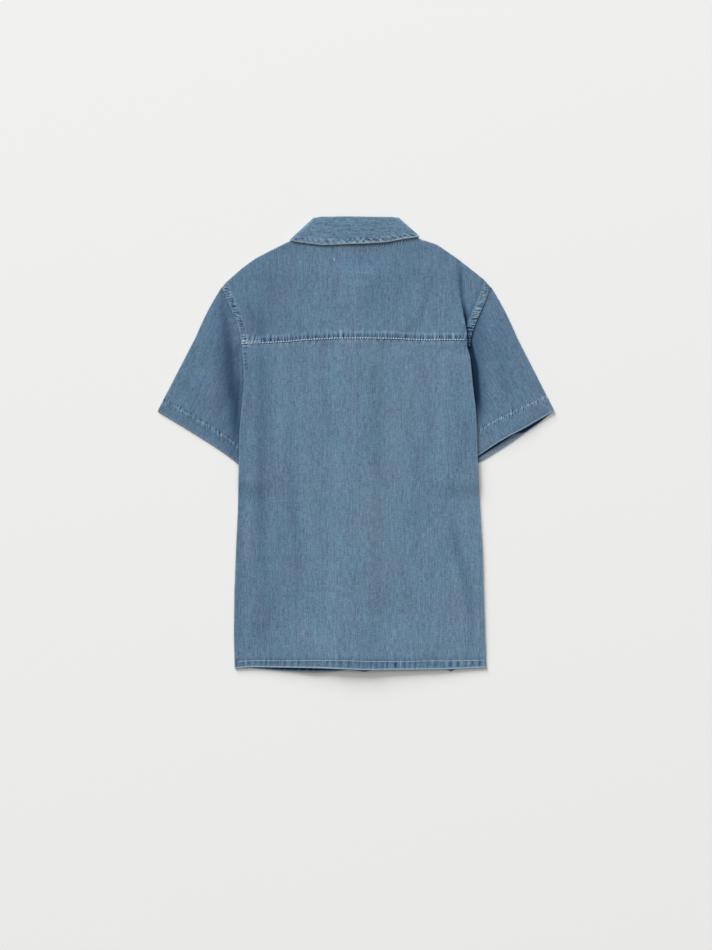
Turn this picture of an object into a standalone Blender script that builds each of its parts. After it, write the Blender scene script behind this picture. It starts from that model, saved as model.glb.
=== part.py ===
"""Child's short-sleeved denim shirt, laid flat on its front with its back up.

The shirt lies on the plane z = 0. The collar points to +Y and the hem to -Y. The wearer's left
is at -X. Every piece of cloth is an open sheet, lofted through sections worked out from the
tables below, with a wall given by Solidify. Lengths are in millimetres up to the mesh itself.
"""
import math
from collections import namedtuple

import bmesh
import bpy
from mathutils import Vector

MM = 0.001                   # tables are in millimetres, meshes in metres

Point = namedtuple("Point", "x y")
Slope = namedtuple("Slope", "start end")     # a smooth step: 0 at its start, 1 at its end

# Cloth and how it is stacked
WALL = 1.0                   # thickness of the cloth with its turnings
SEAM_GAP = 0.3               # between two pieces that are sewn edge to edge
HIDDEN_GAP = 0.5             # the same along the curved seams underneath
ARMHOLE_GAP = 0.4            # the same between a sleeve and the yoke
LAYER = WALL + SEAM_GAP      # from the middle of one layer to the middle of the next
FLOOR = WALL / 2             # middle of the cloth that rests on the surface
LOFT = 0.5                   # spare room between the fronts and the back
ARC_STEPS = 4                # facets round each fold

# Folds along the sides
SIDE_RETURN = 16             # width of the back that is folded under at each side
SIDE_PUFF = 1.0              # extra height of the rolled side edge
SIDE_FOLD = LAYER + LOFT + SIDE_PUFF         # height between the two layers at the fold
SIDE_INSET = (SIDE_FOLD + WALL) / 2          # from the outer limit to where the fold begins
PUFF_ACROSS = Slope(14, 2)   # distance from the side
PUFF_ALONG = Slope(132, 96)
RETURN_TOP = 95              # height where the side folds begin, under the armholes

# Where the body is lifted by what lies under it, across (from the centre line) and along
SLEEVE_TUCK = 2 * LAYER      # by the part of a sleeve that lies under the body
TUCK_ACROSS = Slope(94, 114)
TUCK_ABOVE = Slope(136, 98)
TUCK_BELOW = Slope(-68, -43)
NECK_RISE = LAYER            # by the collar and the neck seam
NECK_ACROSS = Slope(100, 78)
NECK_ALONG = Slope(165, 200)
PLACKET_ACROSS = Slope(36, 8)
PLACKET_ABOVE = Slope(214, 190)
PLACKET_BELOW = Slope(-250, -212)
OVERLAP_ACROSS = Slope(42, 15)
OVERLAP_ABOVE = Slope(222, 202)

# Fastening
PLACKET_OVERLAP = 14         # each front passes the centre line by this much
OVERLAP_RISE = LAYER + 0.2
BUTTON_RADIUS = 5.5
BUTTON_THICKNESS = 2.0
BUTTON_EDGE = 0.5
BUTTON_TOP = 178             # height of the uppermost button
BUTTON_PITCH = 74
BUTTON_COUNT = 6
BUTTON_FACETS = 20
PLACKET_RISE = BUTTON_THICKNESS + SEAM_GAP

# Outline of the back and yoke: its left and right edge at each height
Edge = namedtuple("Edge", "y left right")
OUTLINE = [
    Edge(192, -163.5, 164.5),
    Edge(168, -153.7, 154.9),
    Edge(150, -146.2, 146.8),
    Edge(135, -141.6, 141.2),
    Edge(123, -140.0, 139.0),
    Edge(108, -138.2, 139.8),
    Edge(95, -137.0, 141.2),
    Edge(74, -136.7, 142.9),
    Edge(42, -139.6, 146.2),
    Edge(20, -141.8, 147.2),
    Edge(-20, -142.8, 147.9),
    Edge(-80, -144.0, 150.2),
    Edge(-130, -146.4, 153.6),
    Edge(-180, -148.2, 155.2),
    Edge(-235, -148.9, 157.6),
    Edge(-274, -147.8, 159.6),
]

# Armhole of the fronts, which lies under the one above and ends at the side seam
LOWER_ARMHOLE = [
    Edge(192, -163.5, 164.5),
    Edge(176, -157.2, 158.4),
    Edge(167, -153.0, 154.4),
    Edge(150, -145.6, 146.4),
    Edge(133, -139.4, 139.6),
    Edge(112, -129.0, 131.0),
    Edge(98, -120.6, 124.6),
]

# Lines that run across the shirt
SHOULDERS = [
    Point(-163.5, 192), Point(-159.5, 197.5), Point(-139, 215.4), Point(-121, 227.8),
    Point(-82, 246.4), Point(-62, 254), Point(62, 255), Point(81, 249.4),
    Point(98, 244.2), Point(133, 221.6), Point(156, 202), Point(164.5, 192),
]
YOKE_SEAM = [
    Point(-140, 123), Point(-105, 125.2), Point(-63, 128), Point(-7, 130),
    Point(50, 129.6), Point(83, 127.6), Point(139, 126),
]
BACK_HEM = [
    Point(-148, -273.2), Point(-127, -271.4), Point(-51, -272.4), Point(-8, -273.8),
    Point(11, -274.4), Point(43, -273.8), Point(113, -273.2), Point(160, -271.4),
]
LEFT_FRONT_HEM = [
    Point(-148, -271.6), Point(-132, -272.4), Point(-92, -276.2), Point(-50, -278),
    Point(-22, -276.6), Point(-8, -274.4), Point(14, -274.2),
]
RIGHT_FRONT_HEM = [
    Point(-14, -274.2), Point(0, -275.2), Point(11, -277.2), Point(24, -274),
    Point(60, -272.6), Point(112, -272.8), Point(119, -275), Point(126, -272.6), Point(160, -271),
]
NECK_HALF_WIDTH = 62
FRONT_NECK = (Point(14, 190.5), Point(57.5, 238))    # from the fastening edge to the yoke
FRONT_YOKE_SEAM_OUTER = 176  # height of its outer end; its inner end is at the neck

# Pleat from the right shoulder down to the side of the back: the yoke beyond it lies lower. Below
# the yoke seam its line swings out past the back's edge, so that all of the back stays raised.
Pleat = namedtuple("Pleat", "y x drop")
PLEAT = [
    Pleat(256, 124.0, 0.0), Pleat(222, 124.4, 0.2), Pleat(213, 125.1, 0.6),
    Pleat(181, 128.1, 1.5), Pleat(158, 131.6, 2.0), Pleat(141, 134.0, 2.3), Pleat(123, 135.4, 2.4),
    Pleat(120, 138.0, 2.4), Pleat(108, 145.0, 2.0), Pleat(92, 150.0, 0.0),
]
PLEAT_STEP = Slope(1.2, -1.2)        # across the pleat itself, measured from its line
PLEAT_RUN = Slope(-60, -10)  # where the raised part grows out of the flat yoke
PLEAT_ROOM = 0.7             # share of the strip beyond the pleat that its columns may take

# Soft ridges of the back: a line from one end to the other, with its width and height
Ridge = namedtuple("Ridge", "x0 y0 x1 y1 width height")
RIDGES = [
    Ridge(-128, 60, -134, -220, 9, 0.7),
    Ridge(-92, 190, -94, -60, 10, 0.5),
    Ridge(112, -96, 142, -236, 9, 0.6),
    Ridge(-112, -150, -136, -250, 6, 0.4),
    Ridge(60, 90, 48, -60, 14, 0.3),
]

# Sleeves. The armhole and the cuff both go on under the body: upper and lower give the last
# points of the armhole, before the underarm, in the sleeve's two layers.
Sleeve = namedtuple("Sleeve", "side upper lower underarm cuff cuff_lower gape")
SLEEVES = [
    Sleeve(
        "left",
        [Point(-138.2, 109), Point(-134, 98)],
        [Point(-127.6, 108), Point(-122.1, 96)],
        Point(-119, 88),
        [Point(-242, 41), Point(-207.4, 20.3), Point(-177, 1.3), Point(-158, -11.5),
         Point(-142.8, -23.7), Point(-119, -38)],
        [Point(-242, 41), Point(-206.5, 21.5), Point(-176.5, 2.4), Point(-157, -10.5),
         Point(-142.3, -22.5), Point(-119, -37)],
        0,
    ),
    Sleeve(
        "right",
        [Point(139.8, 109), Point(136.1, 98)],
        [Point(130.8, 108), Point(125.8, 96)],
        Point(123, 88),
        [Point(242, 41), Point(220.8, 30), Point(191, 12.6), Point(167, -1.9),
         Point(149.6, -14.8), Point(124, -32)],
        [Point(242, 40), Point(204, 15.6), Point(188, 4.2), Point(172, -5.4),
         Point(150, -19.6), Point(124, -38)],
        1.3,
    ),
]
SLEEVE_ROWS = (0, 0.1, 0.22, 0.36, 0.5, 0.64, 0.78, 0.9, 1)
SLEEVE_CLEAR = 7             # a sleeve starts to rise this far out from the body's edge
SLEEVE_CROWN = 2.0           # how far its upper layer stands up in the middle
CROWN_FULLNESS = 0.8         # power of the crown's sine: under 1 is fuller
SLEEVE_FOLD = 2.2            # height of the outer fold, between the two layers
FOLD_ACROSS = Slope(0.75, 1)
SLEEVE_BULGE = 1.5           # outward bulge of the outer fold below the shoulder
BULGE_END = 0.4              # share of the sleeve's length where the bulge ends
GAPE_ALONG = Slope(0.6, 1)   # where the upper layer rises over an open cuff
GAPE_INNER = Slope(0, 0.3)
GAPE_OUTER = Slope(1, 0.6)
ARMHOLE_JOIN = Slope(0, 0.22)        # a sleeve leaves the yoke's height over this share of it
UNDERARM_TOP = 2.6           # height of the sleeve where it passes under the body's corner
FOLD_SLANT = 0.5             # least cosine between a row and the square of the outer fold
UNDER_STEPS = 3

# Collar: neck seam, fold and free edge of each section, first under the left front, then on the
# back. The right front's part mirrors the left front's.
Section = namedtuple("Section", "seam fold edge")
FRONT_COLLAR = [
    Section(Point(-16, 192.7), Point(-17, 199), Point(-44, 157)),
    Section(Point(-30, 208), Point(-27, 216), Point(-62, 179)),
    Section(Point(-44, 223.2), Point(-36, 238), Point(-75, 206)),
    Section(Point(-56.5, 237), Point(-44, 258), Point(-79, 230)),
]
LEFT_TURN = Section(Point(-61.4, 252.6), Point(-52, 276.2), Point(-80.6, 249))
BACK_COLLAR = [
    Section(Point(-52, 254.4), Point(-43, 277.6), Point(-64, 246.4)),
    Section(Point(-34, 254.5), Point(-28, 277.7), Point(-40, 243.9)),
    Section(Point(-11, 254.7), Point(-9, 278), Point(-12, 245.1)),
    Section(Point(12, 254.9), Point(14, 277.6), Point(12, 246.5)),
    Section(Point(35, 255.1), Point(32, 277.4), Point(38, 248.4)),
    Section(Point(52, 255.3), Point(45, 277.2), Point(60, 251)),
]
RIGHT_TURN = Section(Point(61.4, 253.6), Point(52.6, 276.4), Point(79, 253.8))
TURN_RISE = 1.8              # the neck seam climbs by this much in plan round the shoulder
TURN_STEPS = (0, 36, 72, 108, 144, 180)      # degrees: 0 is under the front, 180 on the back
LEAF_UNDER = FLOOR           # height of the leaf where it lies under the fronts
LEAF_OVER = 5.2              # height of the leaf where it lies on the yoke
STAND_UNDER = 1.8            # the same for the band that stands at the neck seam
STAND_OVER = 3.6
COLLAR_ROLL = 0.7            # least radius of the collar's fold
COLLAR_STEPS = (0, 0.34, 0.67, 1)            # along the band and along the leaf

# The fronts ride over the collar near this line, on each side of the neck
COLLAR_AXIS = (Point(62, 255), Point(30, 178))
COLLAR_REACH = Slope(62, 44)

# Columns of the yoke and the back. "seam" columns are spread along the yoke seam, "neck" ones
# start at the neck, "pleat" ones keep their distance from the pleat, and "beyond" ones share out
# the strip between the pleat and the sleeve.
Column = namedtuple("Column", "kind at")
COLUMNS = [
    *(Column("seam", x) for x in (-140, -131, -120, -106, -84, -62)),
    Column("neck", -NECK_HALF_WIDTH),
    *(Column("seam", x) for x in (-30, -19, -8, 8, 19, 30, 42, 58)),
    Column("neck", NECK_HALF_WIDTH),
    *(Column("seam", x) for x in (88, 104, 118, 126)),
    Column("pleat", -4),
    Column("pleat", -1),
]
YOKE_ONLY = [Column("pleat", 1.5), Column("pleat", 3.5), Column("beyond", 0.5), Column("beyond", 1)]
PLEAT_NEAR = -4              # the pleat's first and last column
PLEAT_FAR = 3.5
YOKE_ROWS = (0, 1 / 6, 2 / 6, 3 / 6, 4 / 6, 5 / 6, 1)
YOKE_RETURN = (0.5, 1)       # rows from the shoulder fold down to the front yoke seam
BACK_ROWS = (123, 109, 95, 80, 60, 40, 16, -10, -36, -62, -90, -120, -150, -180, -210, -240, -258,
             -273.2)
BACK_STEP = Slope(108, 126)  # over this height the back widens from the pleat to the outline
FRONT_COLUMNS = (150, 134, 116, 98, 80, 62, 42, 30, 19, 14, 8, -8, -14)
FRONT_ROWS = (-272, -256, -236, -206, -172, -138, -104, -68, -43, -20, 10, 40, 66, 84, 98, 112,
              124, 136, 150, 163, 176)
FIXED_COLUMN = 42            # front columns nearer the centre line than this run straight down
SETTLE_STEPS = 12            # rounds that find where a slanting column meets a line

# Finishes
DENIM = ("denim", (0.125, 0.205, 0.290), 0.9)
DENIM_COLLAR = ("denim_collar", (0.120, 0.195, 0.280), 0.9)
BUTTON_SHELL = ("button_shell", (0.72, 0.70, 0.64), 0.35)


def remove_everything():
    """Start from an empty scene."""
    for item in list(bpy.data.objects):
        bpy.data.objects.remove(item, do_unlink=True)


def material(finish):
    """A Principled material, made once for each finish."""
    name, colour, roughness = finish
    if name in bpy.data.materials:
        return bpy.data.materials[name]
    made = bpy.data.materials.new(name)
    made.use_nodes = True
    shader = made.node_tree.nodes["Principled BSDF"]
    shader.inputs["Base Color"].default_value = (*colour, 1)
    shader.inputs["Roughness"].default_value = roughness
    shader.inputs["Metallic"].default_value = 0
    return made


def collection(name):
    """The collection that holds the shirt's pieces."""
    made = bpy.data.collections.new(name)
    bpy.context.scene.collection.children.link(made)
    return made


def mix(a, b, t):
    return a + (b - a) * t


def ramp(value, slope):
    """0 at the slope's start, 1 at its end, smooth between; the start may be the larger one."""
    t = min(1, max(0, (value - slope.start) / (slope.end - slope.start)))
    return t * t * (3 - 2 * t)


def read(table, key, column, at):
    """Value of a table's column at a place, on straight lines between its rows."""
    rows = sorted(table, key=lambda row: getattr(row, key))
    if at <= getattr(rows[0], key):
        return getattr(rows[0], column)
    for low, high in zip(rows, rows[1:]):
        a, b = getattr(low, key), getattr(high, key)
        if at <= b:
            return mix(getattr(low, column), getattr(high, column), (at - a) / (b - a))
    return getattr(rows[-1], column)


def read_side(table, y, side):
    return read(table, "y", side, y)


def line_distance(x, y, a, b):
    """Distance from a point to the stretch between two points, in plan."""
    along = Vector((b.x - a.x, b.y - a.y))
    offset = Vector((x - a.x, y - a.y))
    t = min(1, max(0, offset.dot(along) / along.length_squared))
    return (offset - along * t).length


# Heights of the layers

def tuck_rise(x, y):
    """How far the body is lifted where the underarm part of a sleeve lies below it."""
    return SLEEVE_TUCK * ramp(abs(x), TUCK_ACROSS) * ramp(y, TUCK_ABOVE) * ramp(y, TUCK_BELOW)


def collar_rise(x, y):
    """How far the fronts are lifted by the collar leaf below them."""
    return LAYER * ramp(line_distance(abs(x), y, *COLLAR_AXIS), COLLAR_REACH)


def placket_rise(x, y):
    """How far the fronts are lifted by the buttons below them."""
    along = ramp(y, PLACKET_BELOW) * ramp(y, PLACKET_ABOVE)
    return PLACKET_RISE * ramp(abs(x), PLACKET_ACROSS) * along


def overlap_rise(x):
    """How far the right front is lifted by the left front's fastening edge."""
    return OVERLAP_RISE * ramp(abs(x), OVERLAP_ACROSS)


def neck_rise(x, y):
    """How far the back is lifted round the neck."""
    return NECK_RISE * ramp(y, NECK_ALONG) * ramp(abs(x), NECK_ACROSS)


def lower_height(x, y):
    """Middle of the lower layer: the fronts and what is folded under to meet them."""
    return FLOOR + max(tuck_rise(x, y), collar_rise(x, y), placket_rise(x, y))


def right_front_height(x, y):
    lift = OVERLAP_RISE if x < PLACKET_OVERLAP else overlap_rise(x)
    return lower_height(x, y) + lift


def ridge_rise(x, y):
    """Soft ridges of the back, added up."""
    rise = 0
    for r in RIDGES:
        reach = line_distance(x, y, Point(r.x0, r.y0), Point(r.x1, r.y1))
        rise += r.height * math.exp(-((reach / r.width) ** 2))
    return rise


def side_puff(x, y):
    """Rolled side edges stand a little higher than the middle of the back."""
    inset = min(x - read_side(OUTLINE, y, "left"), read_side(OUTLINE, y, "right") - x)
    return SIDE_PUFF * ramp(inset, PUFF_ACROSS) * ramp(y, PUFF_ALONG)


def pleat_rise(x, y):
    """The body's side of the pleat stands higher than the strip beyond it."""
    offset = x - read(PLEAT, "y", "x", y)
    return read(PLEAT, "y", "drop", y) * ramp(offset, PLEAT_STEP) * ramp(offset, PLEAT_RUN)


def upper_height(x, y):
    """Middle of the upper layer: the back and the yoke."""
    below = max(tuck_rise(x, y), collar_rise(x, y), placket_rise(x, y), neck_rise(x, y),
                pleat_rise(x, y))
    below += overlap_rise(x) * ramp(y, OVERLAP_ABOVE)
    return FLOOR + below + LAYER + LOFT + ridge_rise(x, y) + side_puff(x, y)


# Sheets of cloth

def sheet(name, columns, finish, parts, ring=False):
    """One piece of cloth, as an open sheet with a wall.

    columns holds lists of points, one list for each line along the cloth. A missing point is
    None, and the faces that would need it are left out. A ring joins the last to the first.
    """
    form = bmesh.new()
    grid = [[form.verts.new(Vector(p) * MM) if p else None for p in column] for column in columns]
    pairs = list(zip(grid, grid[1:]))
    if ring:
        pairs.append((grid[-1], grid[0]))
    for left, right in pairs:
        for a, b, c, d in zip(left, right, right[1:], left[1:]):
            if a and b and c and d:
                form.faces.new((a, b, c, d))
    loose = [v for v in form.verts if not v.link_faces]
    bmesh.ops.delete(form, geom=loose, context="VERTS")
    bmesh.ops.recalc_face_normals(form, faces=form.faces)
    mesh = bpy.data.meshes.new(name)
    form.to_mesh(mesh)
    form.free()
    mesh.shade_smooth()
    mesh.materials.append(material(finish))
    piece = bpy.data.objects.new(name, mesh)
    parts.objects.link(piece)
    wall = piece.modifiers.new("cloth wall", "SOLIDIFY")
    wall.thickness = WALL * MM
    wall.offset = 0


def fold(outline, inward, upper, lower, steps=ARC_STEPS, cosine=1):
    """Points round a fold, from its upper layer to its lower one.

    outline is the place of the cloth's outer limit in plan, inward the direction into the
    cloth, and cosine the share of inward that is square to the fold.
    """
    radius = (upper - lower) / 2
    centre = Vector(outline) + inward * (radius + WALL / 2) / cosine
    points = []
    for step in range(steps + 1):
        angle = math.pi * step / steps
        place = centre - inward * radius * math.sin(angle) / cosine
        points.append((place.x, place.y, (upper + lower) / 2 + radius * math.cos(angle)))
    return points


# Yoke and back

def yoke_x(column, y):
    """Place of a column of the yoke at a height."""
    left = read_side(OUTLINE, y, "left")
    right = read_side(OUTLINE, y, "right")
    pleat = read(PLEAT, "y", "x", y)
    narrow = min(1, (right - pleat) * PLEAT_ROOM / PLEAT_FAR)
    if column.kind == "pleat":
        return pleat + column.at * narrow
    if column.kind == "beyond":
        return mix(pleat + PLEAT_FAR * narrow, right, column.at)
    line_y = YOKE_SEAM[-1].y
    first = YOKE_SEAM[0].x
    if column.kind == "neck":
        line_y = shoulder_y(column.at)
        first = OUTLINE[0].left
    last = read(PLEAT, "y", "x", line_y) + PLEAT_NEAR
    return mix(left, pleat + PLEAT_NEAR * narrow, (column.at - first) / (last - first))


def seam_y(x):
    return read(YOKE_SEAM, "x", "y", x)


def shoulder_y(x):
    return read(SHOULDERS, "x", "y", x)


def settle(column, line):
    """Place of a column on a line that runs across the shirt."""
    y = line(0)
    for _ in range(SETTLE_STEPS):
        y = line(yoke_x(column, y))
    return yoke_x(column, y), y


def front_yoke_seam(x):
    """Height of the straight seam where the yoke meets a front, under the shoulder."""
    side = "left" if x < 0 else "right"
    outer = abs(read_side(LOWER_ARMHOLE, FRONT_YOKE_SEAM_OUTER, side))
    neck = FRONT_NECK[-1]
    return mix(neck.y, FRONT_YOKE_SEAM_OUTER, (abs(x) - neck.x) / (outer - neck.x))


def yoke_column(column):
    """Seam, upper layer, shoulder fold and return of one yoke column."""
    y_seam = settle(column, seam_y)[1]
    x_top, y_top = settle(column, shoulder_y)
    over_shoulder = abs(x_top) > NECK_HALF_WIDTH - SEAM_GAP
    lower = lower_height(x_top, y_top)
    inset = (upper_height(x_top, y_top) - lower + WALL) / 2 if over_shoulder else 0
    points = []
    for share in YOKE_ROWS:
        y = mix(y_seam + SEAM_GAP / 2, y_top - inset, share)
        x = yoke_x(column, y)
        points.append((x, y, upper_height(x, y)))
    if not over_shoulder:
        return points + [None] * (ARC_STEPS + len(YOKE_RETURN))
    x_fold = points[-1][0]
    arc = fold((x_fold, y_top), Vector((0, -1)), points[-1][2], lower)
    points += arc[1:]
    side = "left" if x_top < 0 else "right"
    tip = read_side(OUTLINE, OUTLINE[0].y, side)
    share = (x_top - tip) / (math.copysign(NECK_HALF_WIDTH, x_top) - tip)
    outer_end = read_side(LOWER_ARMHOLE, FRONT_YOKE_SEAM_OUTER, side)
    inner_end = math.copysign(FRONT_NECK[-1].x + HIDDEN_GAP, x_top)
    x_end = mix(outer_end, inner_end, share)
    for depth in YOKE_RETURN:
        x = mix(x_fold, x_end, depth)
        y = mix(arc[-1][1], front_yoke_seam(x_end), depth)
        points.append((x, y, lower_height(x, y)))
    return points


def build_yoke(parts):
    sheet("yoke", [yoke_column(column) for column in COLUMNS + YOKE_ONLY], DENIM, parts)


def back_point(column, height):
    """Upper layer of the back, at the height that its left edge has."""
    share = (height - YOKE_SEAM[0].y) / (BACK_HEM[0].y - YOKE_SEAM[0].y)
    left_seam = settle(COLUMNS[0], seam_y)[0]
    right_seam, right_y = settle(COLUMNS[-1], seam_y)
    x_seam, y_seam = settle(column, seam_y)
    across = (x_seam - left_seam) / (right_seam - left_seam)
    step = read_side(OUTLINE, right_y, "right") - right_seam
    inset = SIDE_INSET if height <= RETURN_TOP else 0
    x, y = x_seam, mix(y_seam, BACK_HEM[0].y, share)
    for _ in range(SETTLE_STEPS):
        left = read_side(OUTLINE, y, "left") + inset
        right = read_side(OUTLINE, y, "right") - inset - step * ramp(y, BACK_STEP)
        x = mix(left, right, across)
        y = mix(y_seam - SEAM_GAP / 2, read(BACK_HEM, "x", "y", x), share)
    return x, y, upper_height(x, y)


def side_fold(column, side):
    """Fold and return at one side of the back, as its own columns."""
    inward = Vector((1 if side == "left" else -1, 0))
    rows = []
    for height in BACK_ROWS:
        if height > RETURN_TOP:
            rows.append([None] * (ARC_STEPS + 2))
            continue
        x, y, upper = back_point(column, height)
        outline = read_side(OUTLINE, y, side)
        arc = fold((outline, y), inward, upper, lower_height(outline, y))
        end = outline + inward.x * SIDE_RETURN
        middle = mix(arc[-1][0], end, 0.5)
        rows.append(arc[1:] + [(at, y, lower_height(at, y)) for at in (middle, end)])
    return [list(points) for points in zip(*rows)]


def build_back(parts):
    flat = [[back_point(column, height) for height in BACK_ROWS] for column in COLUMNS]
    left = side_fold(COLUMNS[0], "left")
    right = side_fold(COLUMNS[-1], "right")
    sheet("back", left[::-1] + flat + right, DENIM, parts)


# Fronts

def front_outer(y, side):
    """Side seam, and above it the armhole, of a front."""
    inward = 1 if side == "left" else -1
    if y > LOWER_ARMHOLE[-1].y:
        return read_side(LOWER_ARMHOLE, y, side) + inward * HIDDEN_GAP
    return read_side(OUTLINE, y, side) + inward * (SIDE_RETURN + HIDDEN_GAP)


def front_top(x):
    """Upper edge of a front: the neck, then the yoke seam at the shoulder."""
    if abs(x) < FRONT_NECK[-1].x:
        return read(FRONT_NECK, "x", "y", abs(x)) - HIDDEN_GAP
    return front_yoke_seam(x) - HIDDEN_GAP


def front_x(column, y, side):
    """Columns are straight near the fastening edge and spread out to the side."""
    sign = -1 if side == "left" else 1
    if column <= FIXED_COLUMN:
        return column * sign
    spread = (column - FIXED_COLUMN) / (FRONT_COLUMNS[0] - FIXED_COLUMN)
    return mix(FIXED_COLUMN * sign, front_outer(y, side), spread)


def front_end(column, side, line, y):
    """Height where a column of a front meets its hem or its upper edge."""
    for _ in range(SETTLE_STEPS):
        y = line(front_x(column, y, side))
    return y


def build_front(side, hem, height, parts):
    columns = []
    for column in FRONT_COLUMNS:
        low = front_end(column, side, lambda x: read(hem, "x", "y", x), FRONT_ROWS[0])
        high = front_end(column, side, front_top, FRONT_ROWS[-1])
        line = []
        for row in FRONT_ROWS:
            y = mix(low, high, (row - FRONT_ROWS[0]) / (FRONT_ROWS[-1] - FRONT_ROWS[0]))
            x = front_x(column, y, side)
            line.append((x, y, height(x, y)))
        columns.append(line)
    sheet("front_" + side, columns, DENIM, parts)


# Sleeves

def spread_points(line, count):
    """Points at even steps along a broken line."""
    stretches = [(Vector(a), Vector(b)) for a, b in zip(line, line[1:])]
    total = sum((b - a).length for a, b in stretches)
    points = []
    for step in range(count):
        left = total * step / (count - 1)
        for a, b in stretches:
            length = (b - a).length
            if left <= length:
                break
            left -= length
        points.append(a.lerp(b, min(1, left / length)))
    return points


def sleeve_sign(sleeve):
    return -1 if sleeve.side == "left" else 1


def armhole_points(sleeve):
    """Armhole ends of the sleeve's upper and lower layers, from the shoulder to the underarm."""
    low = seam_y(read_side(OUTLINE, YOKE_SEAM[0].y, sleeve.side))
    heights = [mix(OUTLINE[0].y, low, share) for share in YOKE_ROWS]
    gap = sleeve_sign(sleeve) * ARMHOLE_GAP
    layers = []
    for table, last in ((OUTLINE, sleeve.upper), (LOWER_ARMHOLE, sleeve.lower)):
        points = [Point(read_side(table, y, sleeve.side) + gap, y) for y in heights]
        layers.append([Vector(p) for p in points + last + [sleeve.underarm]])
    return layers


def outer_fold(sleeve):
    """Upper end of the sleeve's outer fold, the way to its cuff, and the direction outwards."""
    top = Vector((read_side(OUTLINE, OUTLINE[0].y, sleeve.side), OUTLINE[0].y))
    way = Vector(sleeve.cuff[0]) - top
    outward = Vector((-way.y, way.x)) * sleeve_sign(sleeve)
    return top, way, outward.normalized()


def sleeve_outer(sleeve, along):
    """Outer fold in plan, with a slight bulge below the shoulder."""
    top, way, outward = outer_fold(sleeve)
    bulge = SLEEVE_BULGE * math.sin(math.pi * min(1, along / BULGE_END))
    return top + way * along + outward * bulge


def sleeve_height(sleeve, x, y, along):
    """Upper layer of a sleeve: flat under the body, rounded up where it shows."""
    edge = abs(read_side(OUTLINE, y, sleeve.side)) + SLEEVE_CLEAR
    outer = abs(sleeve_outer(sleeve, along).x)
    across = min(1, max(0, (abs(x) - edge) / max(1, outer - edge)))
    crown = SLEEVE_CROWN * math.sin(math.pi * across) ** CROWN_FULLNESS
    gape = sleeve.gape * ramp(along, GAPE_ALONG) * ramp(across, GAPE_INNER)
    gape *= ramp(across, GAPE_OUTER)
    return FLOOR + LAYER + crown + gape + (SLEEVE_FOLD - LAYER) * ramp(across, FOLD_ACROSS)


def sleeve_ring(sleeve, along):
    """Points round a sleeve: up its outer fold, over it, round the underarm and back below."""
    sign = sleeve_sign(sleeve)
    upper_arm, lower_arm = armhole_points(sleeve)
    count = len(upper_arm)
    upper = [a.lerp(b, along) for a, b in zip(upper_arm, spread_points(sleeve.cuff, count))]
    lower = [a.lerp(b, along) for a, b in zip(lower_arm, spread_points(sleeve.cuff_lower, count))]
    top = []
    for index, place in enumerate(upper):
        own = sleeve_height(sleeve, place.x, place.y, along)
        joined = own
        if index < len(YOKE_ROWS):
            joined = upper_height(place.x, place.y)
        if index == len(YOKE_ROWS) - 1:
            joined = min(joined, UNDERARM_TOP)
        top.append(mix(joined, own, ramp(along, ARMHOLE_JOIN)))
    outer = sleeve_outer(sleeve, along)
    outer.x += sign * ARMHOLE_GAP * (1 - along)
    inward = (upper[1] - upper[0]).normalized()
    cosine = max(FOLD_SLANT, -inward.dot(outer_fold(sleeve)[2]))
    ring = fold(outer, inward, top[0], FLOOR, cosine=cosine)[::-1]
    ring += [(place.x, place.y, z) for place, z in zip(upper[1:-1], top[1:-1])]
    ring += fold(upper[-1], Vector((sign, 0)), FLOOR + LAYER, FLOOR, steps=UNDER_STEPS)
    ring += [(place.x, place.y, FLOOR) for place in lower[-2:0:-1]]
    return ring


def build_sleeve(sleeve, parts):
    rings = [sleeve_ring(sleeve, along) for along in SLEEVE_ROWS]
    columns = [list(column) for column in zip(*rings)]
    sheet("sleeve_" + sleeve.side, columns, DENIM, parts, ring=True)


# Collar

def collar_section(section, turn, leaf, stand):
    """Points of one section: up the band from the neck seam, round the fold, down the leaf."""
    seam, crest, edge = (Vector(p) for p in section)
    away = (crest - (seam + edge) / 2).normalized()
    outward = Vector((away.y, -away.x))
    if outward.dot(edge - seam) < 0:
        outward = -outward
    radius = max(abs(leaf - stand) / 2, COLLAR_ROLL)
    tilt = math.radians(turn)
    side = (outward * math.sin(tilt)).to_3d() - Vector((0, 0, math.cos(tilt)))
    centre = (crest - away * (radius + WALL / 2)).to_3d()
    centre.z = (leaf + stand) / 2
    arc = []
    for step in range(ARC_STEPS + 1):
        angle = math.pi * step / ARC_STEPS
        arc.append(centre + radius * (away.to_3d() * math.sin(angle) - side * math.cos(angle)))
    start = Vector((seam.x, seam.y, stand))
    end = Vector((edge.x, edge.y, leaf))
    band = [start.lerp(arc[0], t) for t in COLLAR_STEPS[:-1]]
    fall = [arc[-1].lerp(end, t) for t in COLLAR_STEPS[1:]]
    return [tuple(p) for p in band + arc + fall]


def collar_turn(section, side):
    """Sections round one shoulder, where the leaf passes from below to above."""
    seam, crest, edge = (Vector(p) for p in section)
    line = (crest - edge).normalized()
    outward = Vector((-line.y, line.x)) if side == "left" else Vector((line.y, -line.x))
    leaf_radius = (LEAF_OVER - LEAF_UNDER) / 2
    band_radius = (STAND_OVER - STAND_UNDER) / 2
    rows = []
    for turn in TURN_STEPS:
        height = -math.cos(math.radians(turn))
        push = outward * (leaf_radius * (math.sin(math.radians(turn)) - 1) - WALL / 2)
        raised = seam + Vector((0, TURN_RISE * (1 + height) / 2))
        moved = Section(raised, crest + push, edge + push)
        leaf = LEAF_UNDER + leaf_radius * (1 + height)
        stand = STAND_UNDER + band_radius * (1 + height)
        rows.append(collar_section(moved, turn, leaf, stand))
    return rows


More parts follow.
